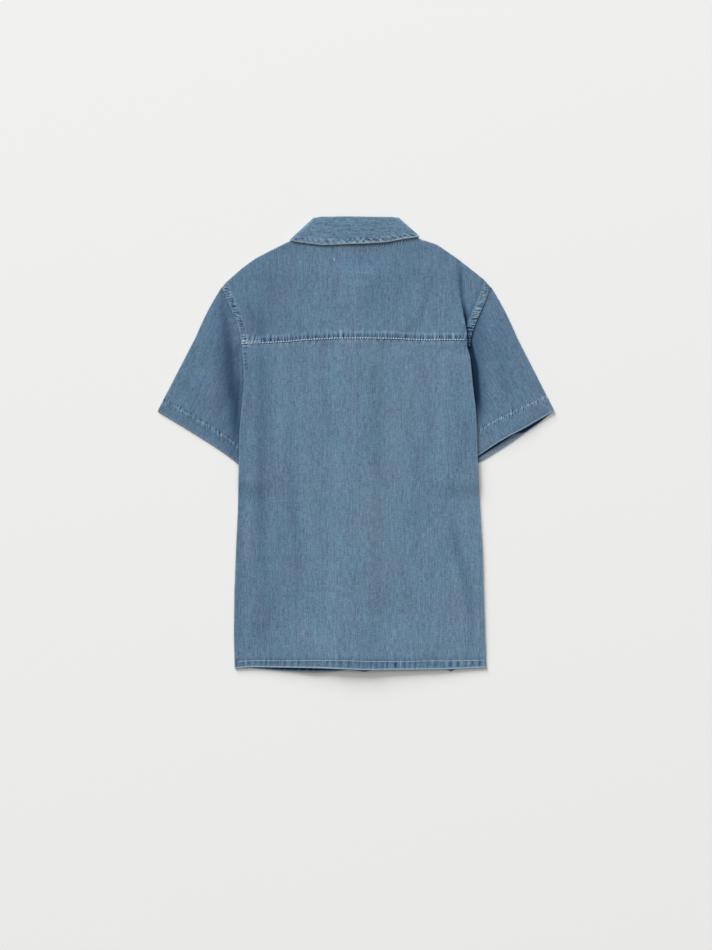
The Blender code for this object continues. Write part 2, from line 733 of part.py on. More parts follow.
def build_collar(parts):
    rows = []
    for section in FRONT_COLLAR:
        rows.append(collar_section(section, 0, LEAF_UNDER, lower_height(*section.seam)))
    rows += collar_turn(LEFT_TURN, "left")
    for section in BACK_COLLAR:
        rows.append(collar_section(section, 180, LEAF_OVER, STAND_OVER))
    rows += collar_turn(RIGHT_TURN, "right")[::-1]
    for left in reversed(FRONT_COLLAR):
        section = Section(*(Point(-p.x, p.y) for p in left))
        rows.append(collar_section(section, 0, LEAF_UNDER, right_front_height(*section.seam)))
    sheet("collar", rows, DENIM_COLLAR, parts)


# Buttons

def build_button(index, parts):
    """A plain flat button under the left front's fastening edge."""
    form = bmesh.new()
    bmesh.ops.create_cone(form, cap_ends=True, segments=BUTTON_FACETS, depth=BUTTON_THICKNESS * MM,
                          radius1=BUTTON_RADIUS * MM, radius2=BUTTON_RADIUS * MM)
    mesh = bpy.data.meshes.new("button")
    form.to_mesh(mesh)
    form.free()
    mesh.materials.append(material(BUTTON_SHELL))
    button = bpy.data.objects.new(f"button_{index + 1}", mesh)
    height = BUTTON_TOP - BUTTON_PITCH * index
    button.location = (0, height * MM, BUTTON_THICKNESS / 2 * MM)
    parts.objects.link(button)
    rim = button.modifiers.new("rounded rim", "BEVEL")
    rim.width = BUTTON_EDGE * MM
    rim.segments = 1
    rim.limit_method = "ANGLE"


def build_shirt():
    remove_everything()
    parts = collection("denim shirt")
    build_back(parts)
    build_yoke(parts)
    build_front("left", LEFT_FRONT_HEM, lower_height, parts)
    build_front("right", RIGHT_FRONT_HEM, right_front_height, parts)
    for sleeve in SLEEVES:
        build_sleeve(sleeve, parts)
    build_collar(parts)
    for index in range(BUTTON_COUNT):
        build_button(index, parts)


build_shirt()
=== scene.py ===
import math
import bmesh
import bpy
import numpy as np
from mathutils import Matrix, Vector


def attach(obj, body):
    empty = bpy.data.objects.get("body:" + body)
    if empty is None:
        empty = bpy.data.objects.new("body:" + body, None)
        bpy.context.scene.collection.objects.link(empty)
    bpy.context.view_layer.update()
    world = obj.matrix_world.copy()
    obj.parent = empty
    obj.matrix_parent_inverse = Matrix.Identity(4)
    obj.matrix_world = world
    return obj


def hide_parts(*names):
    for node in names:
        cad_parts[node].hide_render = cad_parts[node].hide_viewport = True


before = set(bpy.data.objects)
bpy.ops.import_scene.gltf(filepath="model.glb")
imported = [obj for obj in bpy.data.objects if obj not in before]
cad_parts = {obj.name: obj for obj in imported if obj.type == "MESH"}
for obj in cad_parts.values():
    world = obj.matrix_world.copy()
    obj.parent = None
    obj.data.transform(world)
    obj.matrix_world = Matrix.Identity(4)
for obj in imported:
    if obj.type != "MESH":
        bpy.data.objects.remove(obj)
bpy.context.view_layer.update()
mm = 0.001                      # every size below is in millimetres, meshes are in metres

# How the cloth lies, layer on layer, from the surface that the shirt rests on
cloth = {
    "wall": 0.8,                # thickness of one layer
    "layer": 1.3,               # from the middle of one layer to the next
    "floor": 0.5,               # middle of the layer that rests on the surface
    "loft": 0.5,                # spare room between the fronts and the back
    "sideReturn": 16,           # back that is folded under at each side
    "returnTop": 95,            # height where the side folds begin
    "sidePuff": 1.0,            # extra height of the rolled sides
    "plumpness": 0.7,           # the back's own fullness, away from its edges
    "edgeRound": 0.22,          # rounding of every cut edge, where it turns by more than this angle
    "edgeAngle": 62,
}
tipY = 192.0                    # height of both shoulder tips
hemLevel = -273.0               # about where the hems lie
frontSeam = {"innerX": 57.5, "innerY": 238.0, "outerY": 176.0}     # ends of the seams of yoke and fronts

# Outline of back and yoke: height, left edge, right edge
outline = [
    (192, -163.5, 164.5), (168, -153.7, 154.9), (150, -146.2, 146.8), (135, -141.6, 141.2),
    (123, -140.0, 139.0), (108, -138.2, 139.0), (95, -137.0, 140.4), (74, -136.7, 142.4),
    (42, -139.6, 146.2), (20, -141.8, 147.2), (-20, -142.8, 148.7), (-80, -144.0, 151.2),
    (-130, -146.4, 154.2), (-180, -148.2, 155.6), (-235, -148.9, 157.4), (-274, -147.8, 159.2),
]
lowerArmhole = [                # the same for the layers beneath them
    (192, -163.5, 164.5), (176, -157.2, 158.4), (167, -153.0, 154.4), (150, -145.6, 146.4),
    (133, -139.4, 139.6), (112, -129.0, 131.0), (98, -120.6, 124.6),
]
shoulders = [                   # this and the seams and hems: x and height
    (-163.5, 192), (-159.5, 197.5), (-139, 215.6), (-121, 228.4), (-82, 247.4), (-62, 254.4),
    (62, 255), (81, 249.4), (98, 244.2), (125, 225.8), (132, 220.2), (146, 209.3), (156, 201.6), (164.5, 192),
]
yokeSeam = [(-140, 121.8), (-105, 123.1), (-83, 124.3), (-63, 126.4), (-24, 128.2), (20, 128.3), (50, 127.9),
            (70, 126.6), (90, 126.0), (110, 126.6), (139, 126.2)]
hemSeam = [(-140, 7.8), (-88, 8.3), (-49, 9.5), (-4, 10.7), (30, 10.4), (62, 9.8), (95, 10.6), (147, 9.3)]
backHem = [
    (-148, -273.0), (-127, -271.3), (-51, -272.2), (-8, -273.7), (11, -274.6), (43, -274.4),
    (113, -273.9), (160, -272.0),
]
frontHems = {
    "left": [(-148, -271.6), (-132, -272.4), (-92, -275.6), (-50, -277.2), (-22, -276.0),
             (-8, -274.4), (14, -274.2)],
    "right": [(-14, -274.2), (0, -275.2), (11, -277.2), (24, -274), (60, -272.6), (110, -272.6),
              (113.5, -277.6), (118, -276.0), (125, -272.4), (160, -271)],
}
# The pleat in the right shoulder: height and x, then height and depth
pleatLine = [(256, 122.6), (222, 123.0), (213, 123.6), (181, 126.6), (158, 130.3), (141, 133.2),
             (123, 135.4), (120, 138.0), (108, 145.0), (92, 150.0)]
pleatDrop = [(256, 0), (222, 0.2), (213, 0.6), (181, 1.5), (158, 2.0), (141, 2.3), (123, 2.4),
             (120, 2.4), (108, 2.0), (92, 0)]


# Small maths

def mix(a, b, t):
    return a + (b - a) * t


def ramp(value, start, end):
    t = np.clip((value - start) / (end - start), 0, 1)
    return t * t * (3 - 2 * t)


def softLine(rows, spread=4.0, column=1):
    # reads a table along straight lines whose corners are rounded off
    rows = sorted(rows)
    keys = np.array([row[0] for row in rows], float)
    values = np.array([row[column] for row in rows], float)
    first = (values[1] - values[0]) / (keys[1] - keys[0])
    last = (values[-1] - values[-2]) / (keys[-1] - keys[-2])
    step, beyond = spread / 8, 12 * spread
    at = np.arange(keys[0] - beyond, keys[-1] + beyond, step)
    line = np.interp(at, keys, values)
    line += first * np.minimum(at - keys[0], 0) + last * np.maximum(at - keys[-1], 0)
    weights = np.exp(-(np.arange(-16, 17) / 8) ** 2)
    line = np.convolve(np.pad(line, 16, mode="edge"), weights / weights.sum(), "valid")
    return lambda value: np.interp(value, at, line)


def noise(seed, x, y=0.0):
    # smooth noise from -1 to 1 on a lattice of random values
    lattice = np.random.RandomState(seed).rand(128, 128) * 2 - 1
    x, y = np.broadcast_arrays(np.asarray(x, float), np.asarray(y, float))
    column, row = np.floor(x).astype(int), np.floor(y).astype(int)
    u, v = x - column, y - row
    u, v = u * u * (3 - 2 * u), v * v * (3 - 2 * v)
    near, far = column % 128, (column + 1) % 128
    low, high = row % 128, (row + 1) % 128
    return mix(mix(lattice[near, low], lattice[far, low], u),
               mix(lattice[near, high], lattice[far, high], u), v)


def ripple(seed, at, period):
    # uneven waves along a seam, from about -1 to 1
    turns = at / period + 0.42 * noise(seed, at / period / 2.3) + 0.8 * noise(seed + 1, at / period / 9)
    swell = 0.75 + 0.45 * noise(seed + 2, at / period / 1.7)
    return np.sin(2 * math.pi * turns) * swell


def bell(value, width):
    return np.exp(-(value / width) ** 2)


def arch(share, power=1.0):
    # up and down again over a share from 0 to 1
    return np.sin(math.pi * np.clip(share, 0, 1)) ** power


def toLine(x, y, a, b):
    # distance from the stretch a-b, and the share of the way along it
    way = np.array([b[0] - a[0], b[1] - a[1]], float)
    share = ((x - a[0]) * way[0] + (y - a[1]) * way[1]) / (way @ way)
    held = np.clip(share, 0, 1)
    return np.hypot(x - a[0] - way[0] * held, y - a[1] - way[1] * held), share


leftEdge, rightEdge = softLine(outline), softLine(outline, column=2)
lowerLeft, lowerRight = softLine(lowerArmhole), softLine(lowerArmhole, column=2)
edges = {-1: leftEdge, 1: rightEdge}            # by side: the wearer's left is -1
lowerEdges = {-1: lowerLeft, 1: lowerRight}
shoulderY, seamY, hemY = softLine(shoulders), softLine(yokeSeam, 8), softLine(backHem, 8)
hemDepth = softLine(hemSeam, 6)
pleatX, pleatFall = softLine(pleatLine), softLine(pleatDrop, 5)


# Heights of the layers: what each lies on lifts it
lifts = {
    "buttons": 2.3,             # fastening edges over the buttons
    "overlap": 1.5,             # right front and back over the left front's edge
    "frontHem": 3.6,            # left front's hem, beneath the back's
    "backHem": 3.4,             # back's hem in the middle, left of it, and down at its ends
    "hemFlank": 0.9,
    "hemEnds": 0.7,
}


def tuckRise(x, y):             # over the part of a sleeve that lies beneath the body
    return 2 * cloth["layer"] * ramp(abs(x), 94, 114) * ramp(y, 136, 98) * ramp(y, -68, -43)


def collarRise(x, y):           # over the collar's points
    reach = toLine(abs(x), y, (62, 255), (30, 178))[0]
    return cloth["layer"] * ramp(reach, 62, 44)


def placketRise(x, y):
    return lifts["buttons"] * ramp(abs(x), 36, 8) * ramp(y, -250, -212) * ramp(y, 214, 190)


def overlapRise(x):
    return lifts["overlap"] * ramp(abs(x), 42, 15)


def neckRise(x, y):             # over the collar's band
    return cloth["layer"] * ramp(y, 165, 200) * ramp(abs(x), 100, 78)


def frontLift(x, y):
    return lifts["frontHem"] * bell(x + 44, 36) * ramp(y, -232, hemLevel)


def lowerHeight(x, y):          # middle of the left front, and of all that lies on the surface
    rise = np.maximum(tuckRise(x, y), collarRise(x, y))
    return cloth["floor"] + np.maximum(rise, placketRise(x, y)) + frontLift(x, y)


def rightFrontHeight(x, y):
    return lowerHeight(x, y) + np.where(x < front["overlap"], lifts["overlap"], overlapRise(x))


def sideInset(x, y):
    return np.minimum(x - leftEdge(y), rightEdge(y) - x)


def pleatRise(x, y):
    offset = x - pleatX(y)
    soft = mix(1.2, 6.0, ramp(y, 150, 215))
    return pleatFall(y) * ramp(offset / soft, 1, -1) * ramp(offset, -60, -10)


# Main creases of the back and yoke: x and y of both ends, bow to the right in the middle, width,
# height (a trough is negative)
creases = [
    (-130, 70, -136, -228, 2, 7, 0.8),
    (-113, 214, -111, -236, -3, 7, -0.85),
    (-96, 196, -92, -70, 2, 10, 0.7),
    (-86, -8, -69, -178, 3, 6, -0.6),
    (-60, -20, -52, -120, 0, 9, 0.35),
    (-42, -30, -37, -98, 1, 5, -0.4),
    (60, 96, 47, -66, -4, 15, 0.35),
    (84, 60, 76, -150, 3, 13, -0.3),
    (104, -88, 133, -240, 2, 8, 0.5),
    (116, -92, 147, -246, 2, 5, -0.75),
    (132, -60, 152, -200, 0, 6, 0.4),
    (-110, -150, -137, -254, -2, 6, 0.6),
    (-96, -176, -118, -262, 0, 7, -0.35),
    (20, -120, 34, -236, 4, 15, 0.3),
    (-20, 60, -26, -10, 0, 16, -0.25),
    (96, 226, 113, 150, 3, 11, 0.35),
    (-124, 205, -104, 150, 4, 9, 0.4),
    (-134, 176, -118, 132, 0, 6, -0.35),
]


def creaseShape(x, y, table=creases):
    total = 0
    for x0, y0, x1, y1, bow, width, height in table:
        share = toLine(x, y, (x0, y0), (x1, y1))[1]
        lean = bow * arch(share)
        reach, share = toLine(x - lean, y, (x0, y0), (x1, y1))
        total = total + height * bell(reach, width) * ramp(share, -0.08, 0.3) * ramp(share, 1.08, 0.6)
    return total


# Broad places of the back and yoke painted lighter or darker, as painted light and shade: x, y, reach in x
# and in y, strength
patches = [
    (56, 220, 84, 28, -0.12),
    (118, 200, 20, 24, -0.05),
    (-105, 172, 14, 72, -0.10),
    (-130, 122, 12, 24, -0.11),
    (-132, -20, 10, 66, -0.08),
    (-80, 12, 12, 34, -0.05),
    (-80, -160, 12, 40, -0.04),
    (-32, 120, 13, 130, -0.05),
    (-32, -12, 12, 26, -0.04),
    (21, -88, 18, 46, 0.11),
    (17, 106, 12, 26, 0.06),
    (114, 60, 14, 100, -0.05),
    (114, -118, 12, 44, -0.05),
    (139, 14, 12, 34, -0.16),
    (139, 140, 12, 30, -0.08),
    (139, -60, 12, 14, 0.08),
    (-131, -258, 15, 15, 0.13),
    (124, -256, 44, 14, 0.07),
]


def patchShading(x, y, table=patches):
    total = 0
    for atX, atY, reachX, reachY, strength in table:
        total = total + strength * bell(x - atX, reachX) * bell(y - atY, reachY)
    return total


def foldTone(shape, trough, ridge):
    # troughs painted darker, partly unwashed cloth and partly painted shade, and rubbed ridges painted
    # lighter
    return trough * np.minimum(shape, 0) + ridge * np.maximum(shape, 0)


# crease troughs painted darker, partly unwashed cloth and partly painted shade, and the broad places painted
# as light and shade
def creaseWearAndShade(x, y):
    return foldTone(creaseShape(x, y), 0.26, 0.12) + patchShading(x, y)


def hemLift(x, y):              # the back's hem stands off the fronts in the middle
    raised = lifts["backHem"] * bell(x - 8, 88) + lifts["hemFlank"] * bell(x + 48, 40)
    return raised * ramp(y, -205, -270) - lifts["hemEnds"] * ramp(abs(x - 5), 85, 135) * ramp(y, -215, -265)


def upperHeight(x, y):          # middle of the back and the yoke
    rise = np.maximum.reduce([tuckRise(x, y), collarRise(x, y), placketRise(x, y), neckRise(x, y),
                              pleatRise(x, y)])
    rise = rise + overlapRise(x) * ramp(y, 222, 202)
    inset = sideInset(x, y)
    puff = cloth["sidePuff"] * ramp(inset, 14, 2) * ramp(y, 132, 96) * ramp(y, -272, -235)
    inner = ramp(inset, 2, 26) * ramp(y, 236, 205) * mix(0.3, 1, ramp(y, -272, -235))
    plump = cloth["plumpness"] + 0.25 * noise(3, x / 55, y / 80) + 0.12 * noise(4, x / 17, y / 34)
    shape = creaseShape(x, y) * ramp(y, 240, 205) * (0.4 + 0.6 * ramp(inset, 0, 8))
    stack = cloth["floor"] + rise + cloth["layer"] + cloth["loft"]
    return stack + puff + inner * plump + shape + hemLift(x, y)


def layered(x, y, *parts):
    # height, and wear with painted light and shade, of the upper layer, with what each part of a piece adds
    height, wearAndShading = upperHeight(x, y), creaseWearAndShade(x, y)
    for part in parts:
        more, rubAndShading = part(x, y)
        height, wearAndShading = height + more, wearAndShading + rubAndShading
    return height, wearAndShading


# Nodes as expressions

class Wire:
    def __init__(self, graph, socket):
        self.graph, self.socket = graph, socket

    def maths(self, operation, a, b):
        return self.graph.node("ShaderNodeMath", {"operation": operation}, {0: a, 1: b})

    def __add__(self, other):
        return self.maths("ADD", self, other)

    def __sub__(self, other):
        return self.maths("SUBTRACT", self, other)

    def __rsub__(self, other):
        return self.maths("SUBTRACT", other, self)

    def __mul__(self, other):
        return self.maths("MULTIPLY", self, other)

    def most(self, other):
        return self.maths("MAXIMUM", self, other)

    __radd__, __rmul__ = __add__, __mul__


class Graph:
    def __init__(self, tree):
        self.tree = tree
        tree.nodes.clear()

    def node(self, kind, settings=None, inputs=None, output=0):
        made = self.tree.nodes.new(kind)
        for name, value in (settings or {}).items():
            setattr(made, name, value)
        for key, value in (inputs or {}).items():
            if isinstance(value, Wire):
                self.tree.links.new(value.socket, made.inputs[key])
            else:
                made.inputs[key].default_value = value
        return Wire(self, made.outputs[output]) if len(made.outputs) else made

    def blend(self, share, a, b):            # colours
        return self.node("ShaderNodeMix", {"data_type": "RGBA"}, {0: share, 6: a, 7: b}, 2)

    def stretched(self, where, across, along, detail=2.0):       # noise, sizes in millimetres
        scale = (1 / (across * mm), 1 / (along * mm), 0)
        place = self.node("ShaderNodeVectorMath", {"operation": "MULTIPLY"}, {0: where, 1: scale})
        return self.node("ShaderNodeTexNoise", {"noise_dimensions": "2D"},
                         {"Vector": place, "Scale": 1.0, "Detail": detail, "Roughness": 0.55})

    def surface(self, sockets):              # of a material
        shader = self.node("ShaderNodeBsdfPrincipled", {}, sockets)
        self.node("ShaderNodeOutputMaterial", {}, {"Surface": shader})


def newMaterial(name):
    made = bpy.data.materials.new(name)
    made.use_nodes = True
    return made, Graph(made.node_tree)


def srgb(red, green, blue):
    return tuple(((c / 255 + 0.055) / 1.055) ** 2.4 for c in (red, green, blue)) + (1.0,)


# Denim: colours as they look in even light
denim = {
    "plain": (99, 127, 150),
    "teal": (96, 128, 150),
    "plum": (102, 125, 149),
    "unwashedAndShade": (18, 61, 100),      # unwashed cloth in the creases, and painted shade in hollows and shadows
    "pale": (160, 176, 187),    # rubbed ridges and edges, and painted light
    "speck": 0.70,              # strength of the grain, of the streaks along it and of the weft
    "slub": 0.72,
    "weft": 0.40,
    "cloud": 0.26,
    "relief": 0.35,
    "twill": (900.0, 1400.0, 0.0),              # slanted ribs a metre, across and along
    "hollowShade": 0.0,              # share of the painted shade in hollows, inside the shirt only
}
# the inside of the cloth: lighter, and painted in shade where it lies in hollows
denimInside = dict(denim, plain=(116, 134, 150), teal=(112, 134, 148), plum=(118, 133, 148),
                   slub=0.30, weft=0.45, cloud=0.12, relief=0.25, hollowShade=1.0)
denimCross = dict(denim, speck=1.0, slub=0.95, weft=0.55, relief=0.5)


def denimMaterial(name, look):
    made, g = newMaterial(name)
    grain = g.node("ShaderNodeUVMap", {"uv_map": "grain"})
    speck = g.stretched(grain, 1.3, 2.9)
    fine = g.stretched(grain, 1.7, 9)
    slub = g.stretched(grain, 3.0, 34, 3)
    weft = g.stretched(grain, 6, 1.5)
    cloud = g.stretched(grain, 15, 70, 3)
    drift = g.stretched(grain, 38, 60, 2)
    patch = g.stretched(grain, 7, 11, 2)
    wearAndShading = g.node("ShaderNodeAttribute", {"attribute_name": "wearAndShading"}, output="Fac")
    hue = g.node("ShaderNodeMapRange", {"interpolation_type": "SMOOTHSTEP"},
                 {"Value": drift + 0.5 * (patch - 0.5), "From Min": 0.36, "From Max": 0.64})
    colour = g.blend(hue, srgb(*look["teal"]), srgb(*look["plum"]))
    colour = g.blend(0.55, colour, srgb(*look["plain"]))
    shade = (1 + look["speck"] * (speck - 0.5) + look["slub"] * (fine - 0.5)
             + 0.6 * look["slub"] * (slub - 0.5) + look["weft"] * (weft - 0.5)
             + look["cloud"] * (cloud - 0.5))
    colour = g.node("ShaderNodeVectorMath", {"operation": "SCALE"}, {0: colour, "Scale": shade})
    rough = 0.3 + 0.7 * fine + 0.7 * speck
    # rubbed places and painted light turn towards the pale colour; painted shade and unwashed troughs turn
    # towards the dark blue and are darkened further
    rubbedAndLit = g.node("ShaderNodeMath", {"operation": "MULTIPLY", "use_clamp": True}, {0: wearAndShading, 1: rough})
    hollowShade = g.node("ShaderNodeAttribute", {"attribute_name": "hollowShade"}, output="Fac")
    darkAndShadeShare = g.node("ShaderNodeMath", {"operation": "ADD", "use_clamp": True},
                    {0: hollowShade * look["hollowShade"], 1: (0 - wearAndShading).most(0.0)})
    colour = g.blend(rubbedAndLit, colour, srgb(*look["pale"]))
    colour = g.blend(darkAndShadeShare, colour, srgb(*look["unwashedAndShade"]))
    colour = g.node("ShaderNodeVectorMath", {"operation": "SCALE"},
                    {0: colour, "Scale": 1 - 0.62 * darkAndShadeShare * darkAndShadeShare})
    twill = g.node("ShaderNodeVectorMath", {"operation": "DOT_PRODUCT"},
                   {0: grain, 1: look["twill"]}, "Value")
    ribs = g.node("ShaderNodeMath", {"operation": "SINE"}, {0: twill * 6.2832})
    height = speck * 0.5 + fine * 0.4 + weft * 0.3 + ribs * 0.08
    bump = g.node("ShaderNodeBump", {}, {"Strength": look["relief"], "Distance": 0.3 * mm, "Height": height})
    g.surface({"Base Color": colour, "Roughness": 0.92, "Specular IOR Level": 0.22, "Normal": bump,
               "Sheen Weight": 0.08, "Sheen Roughness": 0.5})
    return made


# Meshes

def addObject(name, data):
    made = bpy.data.objects.new(name, data)
    bpy.context.scene.collection.objects.link(made)
    return made


def baked(thing):               # its mesh with the modifiers applied; the object goes
    bpy.context.view_layer.update()
    ready = thing.evaluated_get(bpy.context.evaluated_depsgraph_get())
    mesh = bpy.data.meshes.new_from_object(ready)
    bpy.data.objects.remove(thing)
    return mesh


def clothPiece(name, points, grain, wearAndShading, materials, keep=None, ring=False, wall=None, hollowShade=None):
    rows, columns = points.shape[:2]
    index = np.arange(rows * columns).reshape(rows, columns)
    right = np.roll(index, -1, axis=1) if ring else index[:, 1:]
    left = index if ring else index[:, :-1]
    quads = np.stack([left[:-1], right[:-1], right[1:], left[1:]], axis=-1).reshape(-1, 4)
    if keep is not None:
        quads = quads[keep.ravel()[quads].all(axis=1)]
    used, quads = np.unique(quads, return_inverse=True)
    quads = quads.reshape(-1, 4)
    mesh = bpy.data.meshes.new(name)
    mesh.from_pydata(points.reshape(-1, 3)[used] * mm, [], quads.tolist())
    mesh.update()
    areas = np.empty(len(mesh.polygons))
    mesh.polygons.foreach_get("area", areas)
    print(name, len(areas), "faces,", round(float(areas.sum()), 4), "square metres")
    corners = np.empty(len(mesh.loops), int)
    mesh.loops.foreach_get("vertex_index", corners)
    layer = mesh.uv_layers.new(name="grain")
    flat = (grain.reshape(-1, 2)[used] * mm)[corners]
    if ring:                    # the strip that closes it runs on, instead of back to the first column
        flat = flat.reshape(-1, 4, 2)
        jump = abs(flat[:, 0] - flat[:, 1]).max(axis=1) > 0.1
        flat[jump, 1:3] = flat[jump, 0:1] + (flat[jump, 1:3] - flat[jump, 1:2])
        flat = flat.reshape(-1, 2)
    layer.data.foreach_set("uv", flat.ravel())
    for title, values in (("wearAndShading", wearAndShading), ("hollowShade", hollowShade)):
        if values is not None:
            attribute = mesh.attributes.new(title, "FLOAT", "POINT")
            attribute.data.foreach_set("value", values.ravel()[used].astype(np.float32))
    mesh.shade_smooth()
    for material in materials:
        mesh.materials.append(material)
    piece = addObject(name, mesh)
    thickness = piece.modifiers.new("wall", "SOLIDIFY")
    thickness.thickness = (wall or cloth["wall"]) * mm
    thickness.offset = 0
    thickness.material_offset = len(materials) - 1
    edge = piece.modifiers.new("soft edge", "BEVEL")
    edge.width = cloth["edgeRound"] * mm
    edge.segments = 1
    edge.limit_method = "ANGLE"
    edge.angle_limit = math.radians(cloth["edgeAngle"])
    return piece


def roundFold(edgeX, edgeY, inX, inY, upper, lower, steps, slant=1.0):
    # points round a fold from the upper layer to the lower one, rows first, then the steps
    radius = (upper - lower) / 2
    angle = np.linspace(0, math.pi, steps + 1)
    push = (radius + cloth["wall"] / 2)[:, None] - radius[:, None] * np.sin(angle)
    push = push / np.reshape(slant, (-1, 1))
    return np.stack([edgeX[:, None] + np.reshape(inX, (-1, 1)) * push,
                     edgeY[:, None] + np.reshape(inY, (-1, 1)) * push,
                     ((upper + lower) / 2)[:, None] + radius[:, None] * np.cos(angle)], axis=-1)


def spaced(*stretches):
    # steps of the given sizes, one stretch after another: (end, step)
    at = [0.0]
    for end, step in stretches:
        start = at[-1]
        count = max(1, round((end - start) / step))
        at += list(start + (end - start) * np.arange(1, count + 1) / count)
    return np.array(at)


outside = denimMaterial("denimOutside", denim)
crossGrain = denimMaterial("denimCrossGrain", denimCross)
inside = denimMaterial("denimInside", denimInside)
print("denim ready")


# Armhole bands, on back and yoke
armBand = {
    "width": 9.6, "foot": 119.0,                # from edge to inner stitches, and height where they end
    "coarse": 6.2, "fine": 3.2,                 # spacing of its puckers
    "ladder": 1.2, "pucker": 0.22,              # share of the fine ones, and height of all
    "beyond": {-1: 0.0, 1: 0.22},               # shadow inside each band
    "tone": {                                   # how light each band is, by height
        -1: softLine([(120, 0), (148, -0.02), (158, -0.16), (168, -0.12), (178, 0.1), (192, 0.1)]),
        1: softLine([(120, -0.3), (136, -0.3), (148, -0.14), (160, -0.1), (174, 0.05), (192, 0.05)]),
    },
}


def armhole(x, y, side):
    # distance in from the body's edge, and the way along it
    edge = edges[side]
    slope = edge(y + 0.5) - edge(y - 0.5)
    length = np.hypot(1, slope)
    return (edge(y) - x) * side / length, y * length


def armholeBand(x, y):
    # height and wear of both puckered bands, and the painted shadow inside the right one
    height, wearAndShading = 0, 0
    here = ramp(y, armBand["foot"] - 4, armBand["foot"] + 4)
    high = ramp(y, 140, 162)
    for side, seed in ((-1, 20), (1, 30)):
        depth, way = armhole(x, y, side)
        band = ramp(depth, armBand["width"], armBand["width"] - 2) * here
        waves = mix(0.3, 0.5, high) * ripple(seed, way + 0.5 * depth, armBand["coarse"])
        waves = waves + armBand["ladder"] * ripple(seed + 4, way - 0.15 * depth, armBand["fine"])
        puckers = band * arch((depth + 0.6) / 10, 0.4)
        height = height + 0.3 * band + armBand["pucker"] * puckers * waves - 0.3 * ramp(depth, 1.0, 0) * here
        spots = 1 + 0.7 * noise(seed + 6, way / 3.1, depth / 2.6)
        blots = noise(seed + 7, way / 2.0 + depth / 4.0, depth / 2.2)
        wearAndShading = wearAndShading + puckers * (0.5 * waves * spots + mix(0.5, 0.62, high) * blots)
        wearAndShading = wearAndShading + armBand["tone"][side](y) * band
        wearAndShading = wearAndShading + (0.2 * ramp(depth, 1.9, 0.5) + 0.1 * bell(depth - 8.4, 1.1)) * here     # edge, stitches
        wearAndShading = wearAndShading - armBand["beyond"][side] * ramp(depth, 8, 9.5) * ramp(depth, 16, 12) * here
    return height, wearAndShading


# Back
back = {
    "columnStep": 1.7, "rowStep": 3.0, "notch": 3.6,
    "hemDepth": 9.3, "hemPeriod": 8.6, "hemPucker": 0.26, "hemTone": -0.14,
    "tuckPeriod": 8.2, "stitchPitch": 3.1,      # below the yoke
    "leftRim": -0.1, "rightRim": 0.42,          # how light the rolled sides are; the left one is painted darker against the light that falls on it
    # a painted shadow in the pocket at the foot of the left armhole, and a broad darker place low on the left
    "patches": [(-134, 118, 6, 2.6, -0.2), (-125, -205, 26, 62, -0.1)],
}


def backHemBand(x, y):
    # the turned hem: puckers between its stitches and its rubbed edge, and a painted shadow inside it and
    # above it
    up, depth = y - hemY(x), hemDepth(x)
    band = ramp(up - depth, 1.3, -0.3)
    inBand = band * arch(up / (depth + 0.3), 0.5)
    above = bell(up - depth - 1.7, 2.6) * ramp(up - depth, -0.5, 0.7)
    waves = ripple(40, x, back["hemPeriod"]) * (0.45 + 0.35 * ramp(x, -60, 40))
    waves = waves + mix(0.36, 0.5, ramp(x, -20, 50)) * ripple(44, x, 4.4)
    waves = (waves + 0.35 * noise(47, x / 2.2, up / 3.0)) * (0.55 + 0.6 * np.clip(up / depth, 0, 1))
    height = 0.3 * band + (back["hemPucker"] * inBand + 0.12 * above) * waves
    wearAndShading = back["hemTone"] * band + mix(0.46, 0.54, ramp(x, 0, 60)) * inBand * waves
    shadow = 0.12 * band * ramp(up / depth, 0.5, 0.85) + 0.1 * bell(up - depth - 1.2, 0.9)
    wearAndShading = wearAndShading - mix(1, 0.25, ramp(x, 30, 120)) * shadow - 0.3 * above * (0.6 - 0.5 * waves)
    return height, wearAndShading + ramp(up, 2.4, 1.2)


def belowSeam(x, y):
    # small tucks below the yoke, a faint second row of stitches, painted shade just below the seam in the
    # spacing of its stitches, and painted light over the shade of the yoke's step
    down = seamY(x) - y
    near = ramp(down, 7, 0.6)
    tucks = ripple(50, x, back["tuckPeriod"])
    dots = 0.5 + 0.5 * ripple(54, x, back["stitchPitch"])
    wearAndShading = 0.2 * near * tucks + 0.12 * ramp(down, 3.5, 0.2)
    wearAndShading = wearAndShading + dots * (0.25 * bell(down - 3.9, 0.8) - 0.12 * ramp(down, 2.4, 1.0))
    return 0.10 * near * tucks - 0.2 * ramp(down, 1.2, 0), wearAndShading


def backSides(x, y):
    # rolled sides, the left one painted darker against the light on it, small pleats in the left one below
    # the armhole, a painted shadow at that armhole's foot, and the darker left
    rim = ramp(sideInset(x, y), 2.4, 0.3) * ramp(y, 96, 88)
    inset = x - leftEdge(y)
    marks = bell(inset - 3, 1.8) * ramp(y, 117, 112) * ramp(y, 90, 96)
    wearAndShading = mix(back["leftRim"], back["rightRim"], x > 0) * rim
    wearAndShading = wearAndShading - 0.9 * marks * np.maximum(0, ripple(46, y, 5.2) + 0.2)
    wearAndShading = wearAndShading + patchShading(x, y, back["patches"])
    return 0, wearAndShading - 0.08 * ramp(inset, 12, 4) - 0.05 * ramp(x, -50, -100)


def backSurface(x, y):
    return layered(x, y, backHemBand, belowSeam, backSides, armholeBand)


def backRight(y):               # the back's right edge, which starts where the pleat ends
    return rightEdge(y) - back["notch"] * ramp(y, 105, 121)


